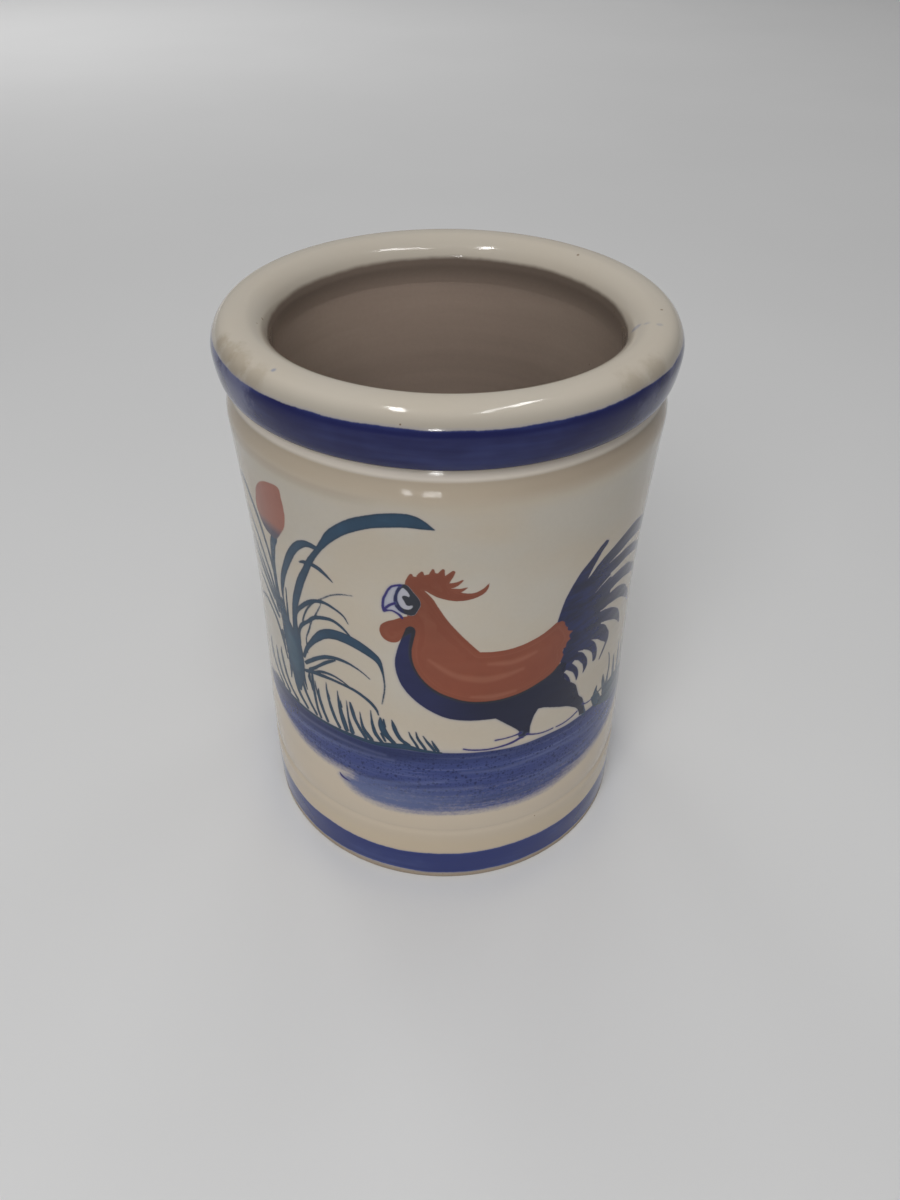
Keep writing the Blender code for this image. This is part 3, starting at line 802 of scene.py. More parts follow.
def base_mesh(material):
    """Low skirt with the blue foot band, the cove and the floor inside."""
    form = Form(WALL_TURNS, band=-REACH, inner=0.0)
    rise = ramp(np.abs(WALL_TURNS), FOOT_BLUE_RISE_START, FOOT_BLUE_RISE_LENGTH)
    band_high = FOOT_BLUE_HIGH + FOOT_BLUE_RISE * rise**2
    rings = form.seat(GLAZE_LINE_HEIGHT, down=True)
    for radius, height in curve(SKIRT_OUTLINE, step=SKIRT_STEP):
        band = np.minimum(height - FOOT_BLUE_LOW, band_high - height)
        rings.append(form.ring(radius, height, band=np.maximum(band, -REACH)))
    rings += form.seat(TURNED_LINE_HEIGHT)
    cove_top = FLOOR_HEIGHT + COVE_RADIUS
    rings += form.inside(np.linspace(TURNED_LINE_HEIGHT + LAP_HEIGHT, cove_top, BASE_INSIDE_RINGS))
    for bend in np.linspace(0, math.pi / 2, COVE_RINGS)[1:]:
        radius = inside_radius(cove_top) - COVE_RADIUS * (1 - math.cos(bend))
        rings.append(form.ring(radius, cove_top - COVE_RADIUS * math.sin(bend), inner=1.0))
    for radius in FLOOR_RADII:
        ring = FLOOR_RING_DEPTH * math.sin(radius * FLOOR_RING_SPEED)
        height = FLOOR_HEIGHT + ring * min(1, radius / FLOOR_RING_FADE)
        rings.append(form.ring(radius, height, inner=1.0))
    form.loft(rings)
    form.cap(rings[-1], FLOOR_HEIGHT, inner=1.0)
    form.cap(rings[0], GLAZE_LINE_HEIGHT + LAP_HEIGHT, below=True)
    return form.mesh("base_glazed", material)


def foot_mesh(material):
    """Bare ring that the pot stands on."""
    form = Form(WALL_TURNS)
    step = GLAZE_LINE_HEIGHT + LAP_HEIGHT
    outline = [
        (FOOT_HOLLOW_RADIUS, EDGE_ROUND), (FOOT_HOLLOW_RADIUS + EDGE_CUT, EDGE_CUT),
        (FOOT_HOLLOW_RADIUS + EDGE_ROUND, 0), (39, 0), (41.5, 0), (44, 0),
        (FOOT_RADIUS - EDGE_ROUND, 0), (FOOT_RADIUS - EDGE_CUT, EDGE_CUT),
        (FOOT_RADIUS, EDGE_ROUND), (FOOT_RADIUS, 1), (FOOT_RADIUS, GLAZE_LINE_HEIGHT),
        (LAP_RADIUS, GLAZE_LINE_HEIGHT), (LAP_RADIUS, step),
        (FOOT_HOLLOW_RADIUS, step), (FOOT_HOLLOW_RADIUS, 2),
    ]
    rings = [form.ring(radius, height) for radius, height in outline]
    form.loft(rings + rings[:1])
    return form.mesh("foot_clay", material)


# Materials
class Paints:
    """Short ways to build a material's nodes, with places and depths in mm."""

    def __init__(self, name):
        self.material = bpy.data.materials.new(name)
        self.material.use_nodes = True
        self.tree = self.material.node_tree
        where = self.node("ShaderNodeTexCoord").outputs["Object"]
        scaled = self.node("ShaderNodeVectorMath", {0: where, "Scale": 1 / MM}, operation="SCALE")
        self.where = scaled.outputs[0]

    def node(self, kind, inputs=None, **settings):
        made = self.tree.nodes.new(kind)
        for key, value in settings.items():
            setattr(made, key, value)
        for key, value in (inputs or {}).items():
            self.feed(made.inputs[key], value)
        return made

    def feed(self, socket, value):
        """Link a socket to the value, or set it."""
        if isinstance(value, bpy.types.NodeSocket):
            self.tree.links.new(value, socket)
        elif isinstance(value, tuple) and socket.type == "RGBA":
            socket.default_value = (*value, 1)
        else:
            socket.default_value = value

    def finish(self, inputs):
        """Feed the shader's own sockets and return the material."""
        for name, value in inputs.items():
            self.feed(self.tree.nodes["Principled BSDF"].inputs[name], value)
        return self.material

    def joined(self, operation, first, others):
        for other in others:
            first = self.node("ShaderNodeMath", {0: first, 1: other}, operation=operation).outputs[0]
        return first

    def add(self, first, *others):
        return self.joined("ADD", first, others)

    def times(self, first, *others):
        return self.joined("MULTIPLY", first, others)

    def value(self, name):
        return self.node("ShaderNodeAttribute", attribute_name=name).outputs["Fac"]

    def axis(self, name):
        """Object place along X, Y or Z."""
        return self.node("ShaderNodeSeparateXYZ", {0: self.where}).outputs[name]

    def step(self, value, low, high, out_low=0.0, out_high=1.0):
        """Smooth step from low to high."""
        ends = {"From Min": low, "From Max": high, "To Min": out_low, "To Max": out_high}
        made = self.node("ShaderNodeMapRange", {"Value": value, **ends}, interpolation_type="SMOOTHSTEP")
        return made.outputs["Result"]

    def band(self, value, start, full, ease, end):
        """Rises from start to full and falls from ease to end."""
        return self.times(self.step(value, start, full), self.step(value, end, ease))

    def lerp(self, low, high, share):
        ends = {"Value": share, "To Min": low, "To Max": high}
        return self.node("ShaderNodeMapRange", ends).outputs["Result"]

    def stretched(self, per_mm, up, shift):
        """Object place, with so many turns to a mm across the pot and up it."""
        inputs = {0: self.where, 1: (per_mm, per_mm, up or per_mm), 2: (shift, shift, shift)}
        return self.node("ShaderNodeVectorMath", inputs, operation="MULTIPLY_ADD").outputs[0]

    def noise_at(self, place, detail, rough):
        inputs = {"Vector": place, "Scale": 1.0, "Detail": detail, "Roughness": rough}
        return self.node("ShaderNodeTexNoise", inputs).outputs["Fac"]

    def noise(self, per_mm, detail=3.0, rough=0.55, shift=0.0, up=None):
        """Noise from 0 to 1."""
        return self.noise_at(self.stretched(per_mm, up, shift), detail, rough)

    def wander(self, reach, *noise, **up):
        """Noise about zero, so many times over."""
        return self.times(self.add(self.noise(*noise, **up), -0.5), reach)

    def dots(self, per_mm, radius, share, shift=0.0):
        """Scattered round dots: how many cells to a mm, their size in cells and how many are kept."""
        inputs = {"Vector": self.stretched(per_mm, None, shift), "Scale": 1.0}
        cells = self.node("ShaderNodeTexVoronoi", inputs)
        dot = self.step(cells.outputs["Distance"], radius, radius * 0.5)
        chance = self.node("ShaderNodeSeparateColor", {0: cells.outputs["Color"]}).outputs[0]
        return self.times(dot, self.step(chance, 1 - share, 1.001 - share))

    def mark(self, x, y, z, radius):
        """Soft ragged mark at a place."""
        off = self.node("ShaderNodeVectorMath", {0: self.where, 1: (x, y, z)}, operation="DISTANCE")
        ragged = self.wander(1.3 * radius, 0.4, 4.0, 0.6, 27.0)
        return self.step(self.add(off.outputs["Value"], ragged), radius, 0.3 * radius)

    def mix(self, under, over, share):
        return self.node("ShaderNodeMix", {0: share, 6: under, 7: over}, data_type="RGBA").outputs[2]

    def tone(self, colour, share):
        """Colour made lighter or darker by a share round 1."""
        grey = self.node("ShaderNodeCombineColor", {0: share, 1: share, 2: share}).outputs[0]
        inputs = {0: 1.0, 6: colour, 7: grey}
        return self.node("ShaderNodeMix", inputs, data_type="RGBA", blend_type="MULTIPLY").outputs[2]

    def varied(self, colour, low, high, *noise, **up):
        """Colour whose tone goes from low to high with a noise."""
        return self.tone(colour, self.lerp(low, high, self.noise(*noise, **up)))

    def edge(self, name, soft=0.13, shift=0.0, share=1.0):
        """Depth in a pigment, with the slight tremble of a brushed edge, and its cover."""
        depth = self.add(self.value(name), self.wander(0.16, 1.3, 2.0, 0.6, shift))
        return depth, self.step(depth, -soft, soft, 0.0, share)

    def bump(self, height, distance):
        """Bump with a height of so many mm."""
        inputs = {"Height": height, "Distance": distance * MM, "Strength": 1.0}
        return self.node("ShaderNodeBump", inputs).outputs[0]


CREAM = (0.53, 0.465, 0.375)
CREAM_COOL = (0.515, 0.475, 0.41)
CREAM_RIM = (0.555, 0.50, 0.42)
# Warmer cream, lighter as painted bounce light from the floor
CREAM_WARM_BOUNCE_LIT = (0.62, 0.52, 0.40)
CREAM_HONEY = (0.62, 0.51, 0.365)
# The next three are painted shade and reflection on the shoulder under the rim, and a pale painted
# reflection for the crease
CREAM_TAN_PAINTED_SHADE = (0.45, 0.38, 0.29)
CREAM_PAINTED_REFLECTION = (0.68, 0.62, 0.545)
SHOULDER_PAINTED_SHADE = (0.20, 0.15, 0.11)
INSIDE = (0.305, 0.237, 0.193)
# Lighter copy of the inside glaze for its sides: painted light
INSIDE_SIDES_LIT = (0.335, 0.265, 0.215)
IRON = (0.16, 0.09, 0.045)
GROUND_BLUE = (0.036, 0.055, 0.20)
GROUND_PALE = (0.15, 0.18, 0.34)
GROUND_DEEP = (0.010, 0.019, 0.085)
GROUND_WORN = (0.11, 0.14, 0.28)
TEAL = (0.019, 0.053, 0.098)
TEAL_DEEP = (0.014, 0.036, 0.066)
TEAL_PALE = (0.050, 0.115, 0.17)
RUST = (0.24, 0.069, 0.039)
RUST_LIGHT = (0.35, 0.145, 0.09)
BUD_PINK = (0.30, 0.113, 0.081)
NAVY = (0.009, 0.012, 0.036)
NAVY_EDGE = (0.013, 0.017, 0.074)
NAVY_WARM = (0.020, 0.024, 0.034)
PLUME = (0.011, 0.021, 0.112)
COBALT = (0.028, 0.022, 0.14)
PALE = (0.42, 0.42, 0.47)
BAND_BLUE = (0.003, 0.006, 0.070)
BAND_LIGHT = (0.020, 0.031, 0.135)
# Pale haze for the band's sides: thin blue and painted reflection
BAND_HAZE_THIN_AND_REFLECTED = (0.15, 0.16, 0.27)
# Tan stain on the rim's sides, also standing for painted shade there
STAIN_AND_PAINTED_SHADE = (0.34, 0.275, 0.19)
SMUDGE = (0.25, 0.27, 0.36)
FOOT_BLUE = (0.011, 0.027, 0.165)
FOOT_LIGHT = (0.036, 0.066, 0.24)
FOOT_LINE = (0.39, 0.34, 0.30)
CLAY = (0.39, 0.315, 0.24)

# Tints of the cream by height: colour, the heights where it starts and is full, and its share
CREAM_TINTS = [
    (CREAM_RIM, 126, 131.5, 0.75),
    # Warmer cream low on the wall, lighter there as painted bounce light from the floor
    (CREAM_WARM_BOUNCE_LIT, 60, 24, 0.75),
    (CREAM_HONEY, 18.8, 12, 0.7),
    (FOOT_LINE, 2.1, 1.8, 1.0),
]

# Places where the rim's blue lies thin or has pooled, with a pale haze on the band's sides that is thin
# blue and painted reflection, then stains with painted shade and smudges on the rim's glaze, as x, y, z,
# radius in mm, colour and strength
BAND_MARKS = [
    (-47.5, -16, 129, 9, BAND_HAZE_THIN_AND_REFLECTED, 0.8),
    (-41.5, -28.5, 127.8, 9, BAND_HAZE_THIN_AND_REFLECTED, 0.65),
    (-30.4, -39.5, 129.3, 6.5, BAND_BLUE, 1),
    (39, -31.2, 126.3, 6, BAND_HAZE_THIN_AND_REFLECTED, 0.3),
    (44.5, -22.5, 126.8, 7, BAND_HAZE_THIN_AND_REFLECTED, 0.4),
    (47.5, -15.5, 127, 7, BAND_HAZE_THIN_AND_REFLECTED, 0.5),
    (37.5, -32.6, 130.8, 3.5, BAND_BLUE, 0.7),
    (42, -26.6, 130.8, 3.5, BAND_BLUE, 0.7),
]
RIM_MARKS = [
    (-45.2, -18.2, 132.6, 3.4, STAIN_AND_PAINTED_SHADE, 0.55),
    (-42.9, -22.8, 132.8, 4.2, STAIN_AND_PAINTED_SHADE, 0.5),
    (-40, -27.4, 132.7, 4.4, STAIN_AND_PAINTED_SHADE, 0.45),
    (-36.2, -32.4, 132.3, 4.4, STAIN_AND_PAINTED_SHADE, 0.35),
    (35, -34, 132.2, 4.6, STAIN_AND_PAINTED_SHADE, 0.35),
    (40.2, -27.6, 132.4, 4.6, STAIN_AND_PAINTED_SHADE, 0.35),
    (38.7, -8.8, 132.7, 1.6, SMUDGE, 0.6),
    (40.6, -10, 133.7, 1, SMUDGE, 0.4),
    (42.9, -11.4, 134.5, 0.9, SMUDGE, 0.35),
    (-32.1, -33.1, 134.2, 0.8, SMUDGE, 0.7),
    (-38.8, -4.2, 131.8, 0.5, IRON, 0.7),
    (30.3, 29, 134.2, 0.5, IRON, 0.7),
    (44.5, -3.7, 134.5, 0.45, IRON, 0.7),
]


def glaze_inside(p, height, fine):
    """Browner glaze of the inside, with painted light and shade: lighter at the sides than on the far
    wall, darker on the lip's inner roll, low down and towards the right.
    """
    back = p.add(p.axis("Y"), p.wander(30, 0.03, 3.0, 0.5, 7.0, up=0.06))
    # Painted light: the lighter copy of the inside glaze at the sides, the darker one on the far wall
    inside = p.mix(INSIDE_SIDES_LIT, INSIDE, p.step(back, 18, 40))
    inside = p.tone(inside, p.add(p.times(fine, 0.10), 0.95))
    inside = p.varied(inside, 0.90, 1.10, 0.02, 3.0, 0.6, 57.0, up=0.30)
    inside = p.mix(inside, IRON, p.times(p.dots(0.35, 0.08, 0.15, 13.0), 0.7))
    # Painted shade on the lip's inner roll
    inside = p.tone(inside, p.step(height, 129, 121.5, 0.55, 1.0))
    # Painted shade deep inside the pot
    inside = p.tone(inside, p.step(height, 115, 100, 1.0, 0.82))
    # Painted light to the left and painted shade to the right
    return p.tone(inside, p.step(p.axis("X"), -32, 32, 1.16, 0.85))


def glaze_ground(p):
    """Cream glaze with cloudy tone, a few iron specks and a darker, browner inside. It carries painted
    shade high on the wall and along the turned line, and painted bounce light low down.
    """
    height = p.axis("Z")
    cloud = p.noise(0.03, 3.0, 0.5, up=0.05)
    fine = p.noise(1.1, 2.0, 0.6)
    cream = p.mix(CREAM, CREAM_COOL, p.step(cloud, 0.35, 0.65))
    cream = p.tone(cream, p.add(p.times(cloud, 0.10), p.times(fine, 0.05), 0.925))
    # Painted shade: the cream darkens from 88 mm up, as under the rim's overhang; the next line lifts the
    # rim back
    cream = p.tone(cream, p.step(height, 88, 104, 1.0, 0.93))
    cream = p.tone(cream, p.step(height, 119.5, 124, 1.0, 1.06))
    for tint, start, full, share in CREAM_TINTS:
        cream = p.mix(cream, tint, p.step(height, start, full, 0.0, share))
    # Darker along the turned line: painted shade in the groove, with glaze pooled in it
    cream = p.tone(cream, p.lerp(1.0, 0.955, p.band(height, 17.8, 18.4, 18.7, 19.4)))
    inner = p.add(p.value("inner"), p.wander(0.5, 0.12))
    colour = p.mix(cream, glaze_inside(p, height, fine), p.step(inner, 0.2, 0.8))
    return p.mix(colour, IRON, p.times(p.dots(0.13, 0.03, 0.12), 0.8))


def glaze_finish(p, colour):
    """Glossy fired glaze with a soft orange-peel surface and pits."""
    peel = p.times(p.noise(0.5, 2.0, 0.5, 11.0), 0.7)
    rings = p.times(p.noise(0.015, 2.0, 0.5, 17.0, up=0.8), 0.2)
    pits = p.times(p.dots(0.4, 0.12, 0.1, 5.0), -0.8)
    normal = p.bump(p.add(peel, rings, pits), 0.014)
    return p.finish({
        "Base Color": colour,
        "Roughness": p.lerp(0.07, 0.14, p.noise(0.25, 3.0, 0.6, 3.0)),
        "IOR": 1.5,
        "Specular IOR Level": 0.22,
        "Coat Weight": 0.12,
        "Coat Roughness": 0.03,
        "Coat IOR": 1.5,
        "Normal": normal,
        "Coat Normal": normal,
    })


def marked(p, colour, marks):
    """Colour with every mark laid on it."""
    for x, y, z, radius, tint, share in marks:
        colour = p.mix(colour, tint, p.times(p.mark(x, y, z, radius), share))
    return colour


def blue_band(p, colour, blue_deep, blue_light, marks):
    """Blue band laid on the wheel: dense, streaked round the pot, softer at its edges."""
    wander = p.wander(1.5, 0.05, 3.0, 0.5, 23.0)
    nibble = p.wander(0.25, 0.9, 2.0, 0.6, 29.0)
    depth = p.add(p.value("band"), wander, nibble)
    broad = p.times(p.noise(0.045, 3.0, 0.5, 31.0, up=0.09), 0.8)
    narrow = p.times(p.noise(0.06, 2.0, 0.5, 33.0, up=0.8), 0.2)
    blue = p.mix(blue_deep, blue_light, p.step(p.add(broad, narrow), 0.42, 0.72))
    blue = p.mix(blue_light, blue, p.step(depth, 0.0, 0.5))
    blue = p.mix(blue, blue_deep, p.times(p.band(depth, 0.5, 0.9, 1.1, 1.7), 0.7))
    # The marks lay thin and pooled blue, and pale painted reflection on the band's sides
    blue = marked(p, blue, marks)
    colour = p.mix(colour, GROUND_PALE, p.step(depth, -0.7, 0.1, 0.0, 0.25))
    return p.mix(colour, blue, p.step(depth, -0.14, 0.16, 0.0, 0.97))


def glazed_band(name, blue_deep, blue_light, band_marks=(), marks=()):
    """Glaze with a blue band round it. The cream darkens towards the rim's band, with painted shade and
    thinner glaze.
    """
    p = Paints(name)
    colour = marked(p, glaze_ground(p), marks)
    # Painted shade and thinner glaze on the rim's cream above the band
    shade_and_thin_glaze = p.times(p.step(p.value("band"), -3.8, -0.2), p.step(p.axis("Z"), 126, 128))
    colour = p.tone(colour, p.lerp(1.0, 0.73, shade_and_thin_glaze))
    return glaze_finish(p, blue_band(p, colour, blue_deep, blue_light, band_marks))


def shoulder_painted_shade_and_reflection(p, colour, across, height):
    """Painted shade and reflection under the rim: a tan band on the wall's shoulder, darker to the right,
    and a pale line of painted reflection in the crease.
    """
    outer = p.step(p.value("inner"), 0.6, 0.4)
    # Painted shade and reflection: a tan band under the rim's overhang
    shade_under_rim = p.band(height, 110.5, 116.8, 118.7, 119.7)
    colour = p.mix(colour, CREAM_TAN_PAINTED_SHADE, p.times(shade_under_rim, 0.85, outer))
    # Darker painted shade, stronger to the right, and a second faint band on the left
    shade_to_right = p.times(p.band(height, 113, 117, 118.8, 119.7), p.step(across, 0, 34, 0.22, 0.46))
    second_shade = p.times(p.band(height, 112, 113.6, 114.2, 115.4), p.step(across, -8, -22, 0.0, 0.16))
    colour = p.mix(colour, SHOULDER_PAINTED_SHADE, p.times(p.add(shade_to_right, second_shade), outer))
    # Painted reflection: a pale line in the crease under the rim
    return p.mix(colour, CREAM_PAINTED_REFLECTION, p.times(p.step(height, 118.9, 119.8), outer))


def halo(p, colour, name, start, full, share, bare=1.0):
    """Faint blue bleed round a pigment, as strong as the glaze there is bare."""
    return p.mix(colour, GROUND_PALE, p.times(p.step(p.value(name), start, full, 0.0, share), bare))


def ground_wash(p, colour, across, height, thin):
    """Blue ground brushed sideways, speckled, and frayed and worn low down."""
    low = p.step(height, 45, 31)
    fray = p.wander(p.lerp(0.5, 4.2, low), 0.05, 4.0, 0.62, 37.0, up=0.8)
    mottle = p.wander(p.lerp(0.0, 3.0, low), 1.0, 3.0, 0.7, 39.0, up=1.3)
    depth = p.add(p.value("ground"), fray, mottle)
    streak = p.noise(0.035, 5.0, 0.68, 41.0, up=1.1)
    wash = p.mix(GROUND_BLUE, GROUND_PALE, p.step(streak, 0.46, 0.78, 0.0, 0.7))
    cloud = p.noise(0.03, 3.0, 0.6, 43.0, up=0.5)
    wash = p.mix(wash, GROUND_DEEP, p.step(cloud, 0.52, 0.75, 0.0, 0.7))
    edge = p.add(height, p.step(across, -4, -14, 0.0, 1.5))
    pooled = p.times(p.step(edge, 41.2, 45.2), p.step(across, 6, -6, 0.55, 0.85))
    wash = p.mix(wash, GROUND_DEEP, pooled)
    wash = p.mix(wash, GROUND_DEEP, p.times(p.dots(0.9, 0.42, 0.5, 9.0), 0.9))
    wash = p.mix(wash, GROUND_DEEP, p.times(p.dots(1.7, 0.5, 0.55, 19.0), 0.65))
    wash = p.mix(wash, GROUND_PALE, p.times(thin, 0.36))
    worn = p.times(p.step(height, 36, 29), p.step(across, -16, 18, 0.9, 0.2))
    wash = p.mix(wash, GROUND_WORN, worn)
    cover = p.step(depth, p.lerp(-0.15, -1.3, low), p.lerp(0.25, 2.8, low), 0.0, 0.985)
    return p.mix(halo(p, colour, "ground", -1.6, 0.4, 0.3), wash, cover)


def leaf_paint(p, colour):
    """Leaves and grass in uneven teal, paler in the middle of the broad tuft."""
    depth, cover = p.edge("teal", shift=47.0, share=0.985)
    teal = p.mix(TEAL_DEEP, TEAL, p.step(depth, 0.0, 0.6))
    teal = p.mix(teal, TEAL_PALE, p.step(depth, 1.1, 3.2, 0.0, 0.5))
    teal = p.varied(teal, 0.75, 1.3, 0.25, 3.0, 0.6, 53.0)
    return p.mix(halo(p, colour, "teal", -0.5, 0.2, 0.22), teal, cover)


def bud_paint(p, colour, height):
    """Pink bud, teal towards its stem."""
    bud = p.varied(BUD_PINK, 0.85, 1.15, 0.35, 3.0, 0.6, 61.0, up=0.12)
    bud = p.mix(bud, TEAL, p.step(height, 99, 95.5, 0.0, 0.8))
    return p.mix(colour, bud, p.edge("bud", 0.2, 59.0, 0.98)[1])


def rust_paint(p, colour, height, thin):
    """Rust red of the cock, with hair lines that follow its outline."""
    inputs = {0: p.times(p.value("rust"), 2.2), 1: p.times(height, 0.06)}
    hairs = p.noise_at(p.node("ShaderNodeCombineXYZ", inputs).outputs[0], 3.0, 0.6)
    light = p.add(p.times(thin, 0.45), p.step(hairs, 0.45, 0.8, 0.0, 0.25))
    rust = p.varied(p.mix(RUST, RUST_LIGHT, light), 0.9, 1.1, 0.12, 3.0, 0.6, 71.0)
    rust = p.tone(rust, p.step(height, 74, 88, 1.0, 0.84))
    return p.mix(colour, rust, p.edge("rust", shift=67.0)[1])


def blue_paint(p, colour, across):
    """Eye and beak left pale, then the plumes, the navy and the fine cobalt lines."""
    colour = p.mix(colour, PALE, p.edge("pale", 0.12, 73.0)[1])
    off_rust = p.step(p.value("rust"), 0.1, -0.5)
    depth, cover = p.edge("plume", shift=79.0, share=0.985)
    plume = p.mix(NAVY, PLUME, p.step(p.noise(0.12, 4.0, 0.65, 83.0, up=0.45), 0.3, 0.75))
    plume = p.mix(NAVY_EDGE, plume, p.step(depth, 0.1, 0.7))
    colour = p.mix(halo(p, colour, "plume", -0.6, 0.2, 0.3, off_rust), plume, cover)
    bare = p.times(off_rust, p.step(p.value("plume"), 0.0, -0.5))
    navy = p.mix(NAVY_EDGE, NAVY, p.step(across, -9, 14))
    navy = p.mix(navy, NAVY_WARM, p.step(p.value("rust"), -0.5, 0.1))
    navy = p.varied(navy, 0.8, 1.25, 0.1, 3.0, 0.6, 97.0, up=0.3)
    colour = halo(p, colour, "navy", -0.7, 0.2, 0.35, bare)
    colour = p.mix(colour, navy, p.edge("navy", shift=89.0, share=0.98)[1])
    colour = halo(p, colour, "cobalt", -0.6, 0.1, 0.3, bare)
    return p.mix(colour, COBALT, p.edge("cobalt", shift=101.0, share=0.98)[1])


def painted_glaze():
    """The wall's glaze with its under-glaze painting, laid colour over colour."""
    p = Paints("glaze_painted")
    across = p.axis("X")
    height = p.axis("Z")
    thin = p.step(p.value("thin"), -0.8, 0.5)
    colour = shoulder_painted_shade_and_reflection(p, glaze_ground(p), across, height)
    colour = ground_wash(p, colour, across, height, thin)
    colour = bud_paint(p, leaf_paint(p, colour), height)
    colour = rust_paint(p, colour, height, thin)
    return glaze_finish(p, blue_paint(p, colour, across))


def bare_clay():
    """Matt fired clay with sandy grain."""
    p = Paints("clay_sandy")
    grain = p.noise(2.4, 4.0, 0.7)
    patch = p.noise(0.08, 3.0, 0.5, 5.0)
    colour = p.tone(CLAY, p.add(p.times(grain, 0.4), p.times(patch, 0.25), 0.68))
    colour = p.mix(colour, IRON, p.times(p.dots(0.8, 0.2, 0.15), 0.6))
    rough = p.lerp(0.75, 0.92, grain)
    return p.finish({"Base Color": colour, "Roughness": rough, "Normal": p.bump(grain, 0.12)})


# Floor, world, lamps and camera
FLOOR_TONE = (0.76, 0.76, 0.76)
FLOOR_HALF = 6.0
FLOOR_CELLS = 24
WORLD_GREYS = ((0.0, 0.21), (0.8, 0.27))


def floor_paper():
    """Matt pale paper, a little cloudy."""
    p = Paints("floor_paper")
    return p.finish({
        "Base Color": p.varied(FLOOR_TONE, 0.96, 1.04, 0.004, 3.0, 0.5),
        "Roughness": 0.55,
        "Specular IOR Level": 0.35,
        "Normal": p.bump(p.noise(0.6, 3.0, 0.6, 3.0), 0.02),
    })


def floor():
    """Large pale sheet that the pot stands on."""
    side = np.linspace(-FLOOR_HALF, FLOOR_HALF, FLOOR_CELLS + 1)
    x, y = np.meshgrid(side, side)
    points = np.stack([x, y, np.zeros_like(x)], -1).reshape(-1, 3)
    number = np.arange(len(points)).reshape(x.shape)
    corners = [number[:-1, :-1], number[:-1, 1:], number[1:, 1:], number[1:, :-1]]
    mesh = bpy.data.meshes.new("floor")
    mesh.from_pydata(points.tolist(), [], np.stack(corners, -1).reshape(-1, 4).tolist())
    mesh.materials.append(floor_paper())
    piece = bpy.data.objects.new("floor", mesh)
    bpy.context.scene.collection.objects.link(piece)


# Lamps as name, place in metres, target, width, length and the way the length runs, power in
# watts, and whether they light the scene or show only as glints in the glaze, all or the wall's
LIGHT = "light"
GLINT = "glint"
WALL_GLINT = "glint on the wall alone"
POT = (0, 0, 0.1)
RIM = (0, 0, 0.13)
RIM_FRONT = (0.01, -0.045, 0.134)
SHOULDER = (0, 0, 0.117)
ACROSS = (1, 0, 0)
SLANTED = (0, 0.84, -0.55)
LAMPS = [
    ("top_soft", (0, -0.24, 0.62), POT, 0.2, 0.2, ACROSS, 0.7, LIGHT),
    ("fill_front", (-0.26, -0.78, 0.85), POT, 0.5, 0.5, ACROSS, 4.4, LIGHT),
    ("back_floor", (0.1, 1.5, 1.2), (0.05, 1.25, 0), 0.6, 0.6, ACROSS, 3.2, LIGHT),
    ("soft_back_left", (-0.55, 0.66, 1.2), POT, 0.3, 0.3, ACROSS, 0.7, LIGHT),
    ("soft_back_right", (0.58, 0.64, 1.2), POT, 0.3, 0.3, ACROSS, 0.7, LIGHT),
    ("far_left", (-0.62, 1.15, 0.7), (-0.55, 1.1, 0), 0.3, 0.3, ACROSS, 2.4, LIGHT),
    ("strip_near", (0.0405, -0.072, 0.283), RIM_FRONT, 0.012, 0.054, SLANTED, 0.03, GLINT),
    ("strip_far", (0.0445, -0.0191, 0.2457), RIM_FRONT, 0.012, 0.047, SLANTED, 0.042, GLINT),
    ("spot_left", (-0.062, -0.073, 0.342), RIM, 0.018, 0.07, (0.15, 0.97, 0), 0.17, GLINT),
    ("window", (-0.094, -1.01, 0.389), RIM, 0.06, 0.09, ACROSS, 0.65, GLINT),
    ("low_left", (-0.196, -0.612, 0.046), SHOULDER, 0.042, 0.042, ACROSS, 0.085, WALL_GLINT),
    ("low_middle", (-0.075, -0.638, 0.044), SHOULDER, 0.05, 0.09, ACROSS, 0.15, WALL_GLINT),
]


def lamp(name, spot, target, width, length, run, power, kind, on_wall):
    """Rectangular lamp turned to its target, its length along the run."""
    light = bpy.data.lights.new(name, "AREA")
    light.shape = "RECTANGLE"
    light.size = length
    light.size_y = width
    light.energy = power
    lit = bpy.data.objects.new(name, light)
    spot = Vector(spot)
    back = (spot - Vector(target)).normalized()
    side = Vector(run)
    side = (side - back * side.dot(back)).normalized()
    turn = Matrix((side, back.cross(side), back)).transposed().to_4x4()
    lit.matrix_world = Matrix.Translation(spot) @ turn
    lit.visible_diffuse = kind == LIGHT
    lit.visible_glossy = kind != LIGHT
    bpy.context.scene.collection.objects.link(lit)
    if kind == WALL_GLINT:
        lit.light_linking.receiver_collection = on_wall


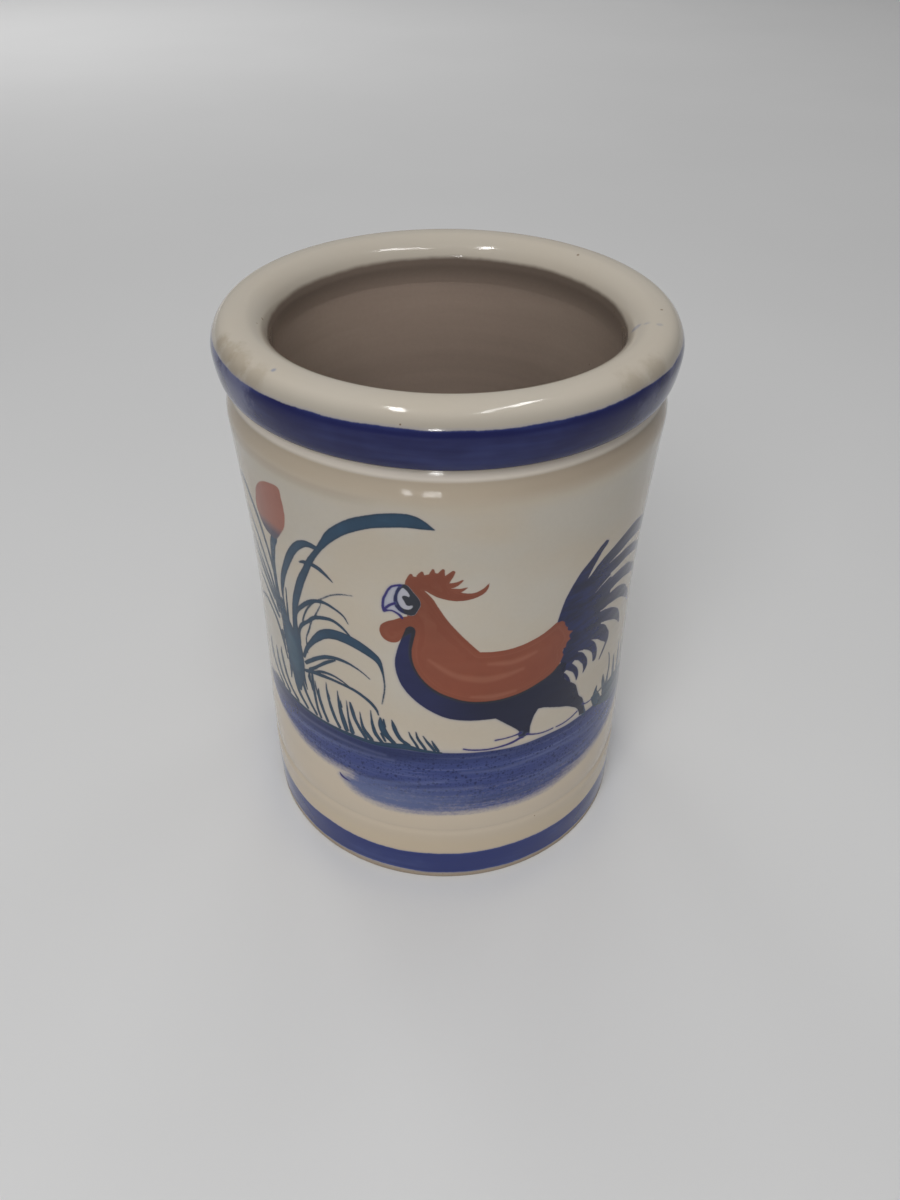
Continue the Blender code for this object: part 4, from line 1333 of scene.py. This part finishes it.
def lights():
    """All lamps. The low glints reach the wall alone."""
    on_wall = bpy.data.collections.new("glints_on_wall")
    on_wall.objects.link(bpy.data.objects["wall_glazed"])
    for row in LAMPS:
        lamp(*row, on_wall)


def sky():
    """Grey world, a little lighter above."""
    world = bpy.data.worlds.new("studio")
    bpy.context.scene.world = world
    world.use_nodes = True
    nodes = world.node_tree.nodes
    links = world.node_tree.links
    parts = nodes.new("ShaderNodeSeparateXYZ")
    links.new(nodes.new("ShaderNodeTexCoord").outputs["Generated"], parts.inputs[0])
    blend = nodes.new("ShaderNodeValToRGB")
    links.new(parts.outputs["Z"], blend.inputs[0])
    for stop, (position, grey) in zip(blend.color_ramp.elements, WORLD_GREYS):
        stop.position = position
        stop.color = (grey, grey, grey, 1)
    links.new(blend.outputs[0], nodes["Background"].inputs[0])


CAMERA_PLACE = (0, -0.20418, 0.21653)
CAMERA_PITCH = math.radians(38.56)
CAMERA_YAW = math.radians(0.332)
CAMERA_ROLL = math.radians(0.681)


def camera():
    """The photograph's camera."""
    lens = bpy.data.cameras.new("camera")
    lens.sensor_fit = "AUTO"
    lens.sensor_width = 36.0
    lens.lens = 30.0
    seen = bpy.data.objects.new("camera", lens)
    swing = Matrix.Rotation(-CAMERA_YAW, 4, "Z")
    tilt = Matrix.Rotation(math.pi / 2 - CAMERA_PITCH, 4, "X")
    roll = Matrix.Rotation(CAMERA_ROLL, 4, "Z")
    seen.matrix_world = Matrix.Translation(CAMERA_PLACE) @ swing @ tilt @ roll
    bpy.context.scene.collection.objects.link(seen)
    bpy.context.scene.camera = seen


def main():
    rim_glaze = glazed_band("glaze_rim", BAND_BLUE, BAND_LIGHT, BAND_MARKS, RIM_MARKS)
    foot_glaze = glazed_band("glaze_foot", FOOT_BLUE, FOOT_LIGHT)
    stand("wall_glazed", wall_mesh(painted_glaze()), "wall")
    stand("rim_glazed", rim_mesh(rim_glaze), "rim_collar")
    stand("base_glazed", base_mesh(foot_glaze), "base")
    stand("foot_clay", foot_mesh(bare_clay()), "foot_ring")
    floor()
    lights()
    sky()
    camera()
    bpy.context.scene.view_settings.view_transform = "Standard"


main()
